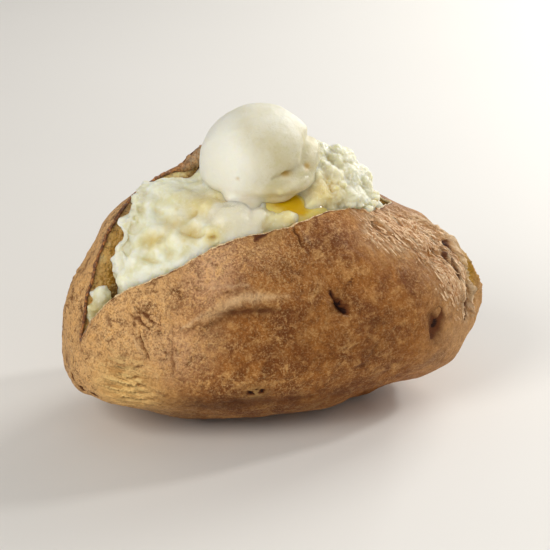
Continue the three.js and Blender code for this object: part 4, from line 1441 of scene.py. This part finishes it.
SCOOP_COLUMNS, SCOOP_ROWS = 200, 110
SCOOP_CENTRE = np.array([-4.9, -2.8, 77.9])
SCOOP_RADIUS = 17.3
SCOOP_DEPTH = 10.5
SKIRT_HEIGHT, SKIRT_SPREAD, SKIRT_OUT, SKIRT_TURN = -26.0, 15.0, 1.9, -50.0
GROOVE_HEIGHT, GROOVE_SPREAD, GROOVE_DEPTH = -6.0, 7.0, 1.0
SWELL, SWELL_TURN = 0.35, 40.0
SCOOP_GRAIN = [(0.35, 11, 113), (0.16, 4, 127), (0.05, 1.7, 131)]
BUTTER_VOXEL = 0.42
RELAX_BUTTER = 30


def scoop_rings():
    """A ball, flattened underneath, with a skirt round its foot and a groove across its front."""
    height = (0.5 * HALF_TURN - (np.arange(SCOOP_ROWS - 1) + 1) * HALF_TURN / SCOOP_ROWS)[:, None]
    turn = np.arange(SCOOP_COLUMNS) * FULL_TURN / SCOOP_COLUMNS
    facing = 0.5 + 0.5 * np.cos(np.radians(turn - SKIRT_TURN))
    skirt = SKIRT_OUT * bell(height, SKIRT_HEIGHT, SKIRT_SPREAD) * mix(0.6, 1, facing)
    groove = GROOVE_DEPTH * bell(height, GROOVE_HEIGHT, GROOVE_SPREAD) * facing ** 3
    level, rise = np.cos(np.radians(height)), np.sin(np.radians(height))
    swell = SWELL * np.sin(np.radians(2 * turn + SWELL_TURN)) * level
    radius = SCOOP_RADIUS + skirt - groove + swell
    x = radius * level * np.cos(np.radians(turn))
    y = radius * level * np.sin(np.radians(turn))
    return np.stack([x, y, np.where(rise < 0, SCOOP_DEPTH, radius) * rise], axis=-1) + SCOOP_CENTRE


# Butter that has slumped round the foot of the scoop: place and half sizes.
FOOT_LUMPS = [
    ((-12, -14.6, 72.2), (7, 4.6, 3)),
    ((-12.8, -18.4, 70.6), (4.8, 4, 1.7)),
    ((-3.4, -15.8, 72.8), (6.4, 3.4, 2.6)),
]
FOOT_SLOPE = 0.5

# Folds of the scoop: the groove left by the edge of the spoon, and the roll that it pushed up.
SCOOP_FOLDS = [
    Mark([(12.4, 4, 84), (11.2, -3, 85.6), (8.4, -9.4, 86.2), (6.6, -14, 84), (5.2, -16.8, 80.6),
          (2.2, -18.5, 79.2), (-0.8, -19.6, 78.6), (-4.8, -20.1, 78)], 1.9, -1.3),
    Mark([(13.2, 2, 83), (12.4, -5, 82), (10.8, -10.5, 79.8), (8.4, -14.6, 77), (3.4, -17.8, 75),
          (-3, -20, 74.4)], 2.8, 1.3),
]

# Small pits in the scoop: place, size and depth.
SCOOP_DENTS = [
    ((-0.8, -20, 78.8), (1.9, 6, 0.8), 1.5),
    ((6.4, -17, 79.4), (1, 6, 1.1), 1.2),
    ((-15, -16.9, 78.2), (0.5, 3, 0.5), 0.5),
]


def foot_lumps():
    """Flattened lumps of butter that lean down the front of the heap."""
    ball_points, ball_faces = ball(3)
    parts = []
    for place, half in FOOT_LUMPS:
        local = ball_points * half
        local[:, 2] += FOOT_SLOPE * local[:, 1]
        parts.append((local + place, ball_faces))
    return parts


def make_scoop():
    top, bottom = SCOOP_CENTRE + (0, 0, SCOOP_RADIUS), SCOOP_CENTRE - (0, 0, SCOOP_DEPTH)
    parts = [ringed_solid(top, scoop_rings(), bottom)] + foot_lumps()
    mesh = joined_by_voxels("scoop", parts, BUTTER_VOXEL)
    points = relaxed(mesh_points(mesh), mesh_edges(mesh), RELAX_BUTTER)
    set_points(mesh, points)
    bumps = layered(points, SCOOP_GRAIN)
    bent = warped(points, 6, 0.6, 129)
    for fold in SCOOP_FOLDS:
        bumps += fold.rise * line_share(bent, fold)
    for centre, spread, depth in SCOOP_DENTS:
        bumps -= depth * blob(points, centre, spread)
    points = points + mesh_normals(mesh) * bumps[:, None]
    set_points(mesh, points)
    # Golden low on the scoop: melting butter there, and painted shade towards its foot.
    low = smoothstep(-points[:, 2], -77, -69)
    melt = 0.4 * low * smoothstep(fractal(points, 6, 137), -0.6, 0.4)
    for centre, spread, depth in SCOOP_DENTS:
        melt += 0.8 * depth * blob(points, centre, np.array(spread) * 0.9)
    drift = 3 * noise(points, 12, 139)
    # Painted light: the scoop's left side and top are made whiter.
    left, high = smoothstep(-points[:, 0] + drift, 5, 16), smoothstep(points[:, 2] + drift, 85, 94)
    set_attributes(mesh, melt=melt, wet=np.maximum(low, line_share(points, SCOOP_FOLDS[1])),
                   pale=np.maximum(0.8 * left, 0.5 * high))
    finish_piece("scoop", mesh, butter_material(), ("butter_scoop",))


POOL_RINGS, POOL_COLUMNS = 24, 96
POOL_REACH = 1.4
POOL_EDGE_DROP, POOL_THICK = 2.0, 3.5
POOL_SOFTNESS = 1.2


def heap_height(points):
    """Smoothed height of the heap above or below each point."""
    turn, share = np.meshgrid(column_turns(HEAP_COLUMNS), np.linspace(0.02, 1, HEAP_ROWS))
    cloud = heap_point(turn, (rim_angle(turn) - FLESH_INSET) * share).reshape(-1, 3)
    heights = []
    for place in points[:, :2]:
        near = bell(np.linalg.norm(cloud[:, :2] - place, axis=1), 0, POOL_SOFTNESS)
        heights.append(near @ cloud[:, 2] / near.sum())
    return np.array(heights)


def make_pool():
    """A thin sheet of melted butter that fills the hollow before the scoop."""
    turn = np.radians(np.arange(POOL_COLUMNS) * FULL_TURN / POOL_COLUMNS)
    share = ((np.arange(POOL_RINGS) + 1) / POOL_RINGS)[:, None]
    right = POOL_REACH * POOL.half[0] * share * np.cos(turn)
    back = POOL_REACH * POOL.half[1] * share * np.sin(turn)
    level = POOL_LEVEL + POOL_SLOPE * back + POOL_FALL * right
    x, y = POOL.middle[0] + right, POOL.middle[1] + back
    top = np.stack([x, y, level - POOL_EDGE_DROP * smoothstep(share, 0.75, 1)], axis=-1)
    under = np.stack([x, y, level - POOL_THICK], axis=-1)[::-1]
    points, faces = ringed_solid(top[0].mean(axis=0), np.concatenate([top, under]), under[-1].mean(axis=0))
    mesh = make_mesh("melted_butter", points, faces)
    set_attributes(mesh, deep=smoothstep(points[:, 2] - heap_height(points), -0.4, 2.4))
    finish_piece("melted_butter", mesh, melted_material())


# ---------------------------------------------------------------------------- stage

CAMERA_TARGET = np.array([0.87, -0.25, 40.3])
CAMERA_TURN, CAMERA_RISE, CAMERA_DISTANCE = -16.0, 21.8, 650.0
LENS_PER_FRAME = 3.9
SENSOR = 36.0
FLOOR_HALF = 2500.0
LIGHT_TARGET = (0, 0, 45)
SKY_COLOUR, SKY_STRENGTH = (0.80, 0.78, 0.78, 1), 0.36

# Soft lights: name, place, size, power and colour.
LIGHTS = [
    ("key", (-620, -420, 560), (420, 420), 4.6, (1.0, 0.98, 0.95)),
    ("back", (560, 420, 420), (360, 480), 3.8, (1.0, 0.99, 0.97)),
    ("fill", (120, -700, 420), (700, 500), 0.9, (1, 1, 1)),
    ("glint", (620, 60, 430), (70, 70), 1.6, (1, 1, 1)),
    ("sparkle", (560, 700, 190), (70, 70), 0.7, (1, 1, 1)),
]


def aim(thing, place, target):
    thing.location = Vector(place) * MM
    look = Vector(target) - Vector(place)
    thing.rotation_euler = look.to_track_quat("-Z", "Y").to_euler()


def make_camera():
    camera = make_object("camera", bpy.data.cameras.new("camera"))
    camera.data.sensor_width = SENSOR
    camera.data.lens = SENSOR * LENS_PER_FRAME
    turn, rise = np.radians(CAMERA_TURN), np.radians(CAMERA_RISE)
    back = np.array([np.sin(turn) * np.cos(rise), -np.cos(turn) * np.cos(rise), np.sin(rise)])
    aim(camera, CAMERA_TARGET + CAMERA_DISTANCE * back, CAMERA_TARGET)
    bpy.context.scene.camera = camera


def make_light(name, place, size, power, colour):
    lamp = bpy.data.lights.new(name, "AREA")
    lamp.shape = "RECTANGLE"
    lamp.size, lamp.size_y = size[0] * MM, size[1] * MM
    lamp.energy = power
    lamp.color = colour
    aim(make_object(name, lamp), place, LIGHT_TARGET)


def make_stage():
    corners = np.array([(-1, -1, 0), (1, -1, 0), (1, 1, 0), (-1, 1, 0)]) * FLOOR_HALF
    mesh = make_mesh("floor", corners, [(0, 1, 2, 3)])
    mesh.materials.append(floor_material())
    make_object("floor", mesh)
    world = bpy.data.worlds.new("studio")
    world.use_nodes = True
    background = world.node_tree.nodes["Background"]
    background.inputs["Color"].default_value = SKY_COLOUR
    background.inputs["Strength"].default_value = SKY_STRENGTH
    bpy.context.scene.world = world
    for light in LIGHTS:
        make_light(*light)
    bpy.context.scene.view_settings.view_transform = "Standard"


make_camera()
make_stage()
make_peel()
make_lining()
make_lip()
make_flesh()
make_flakes()
make_scoop()
make_pool()
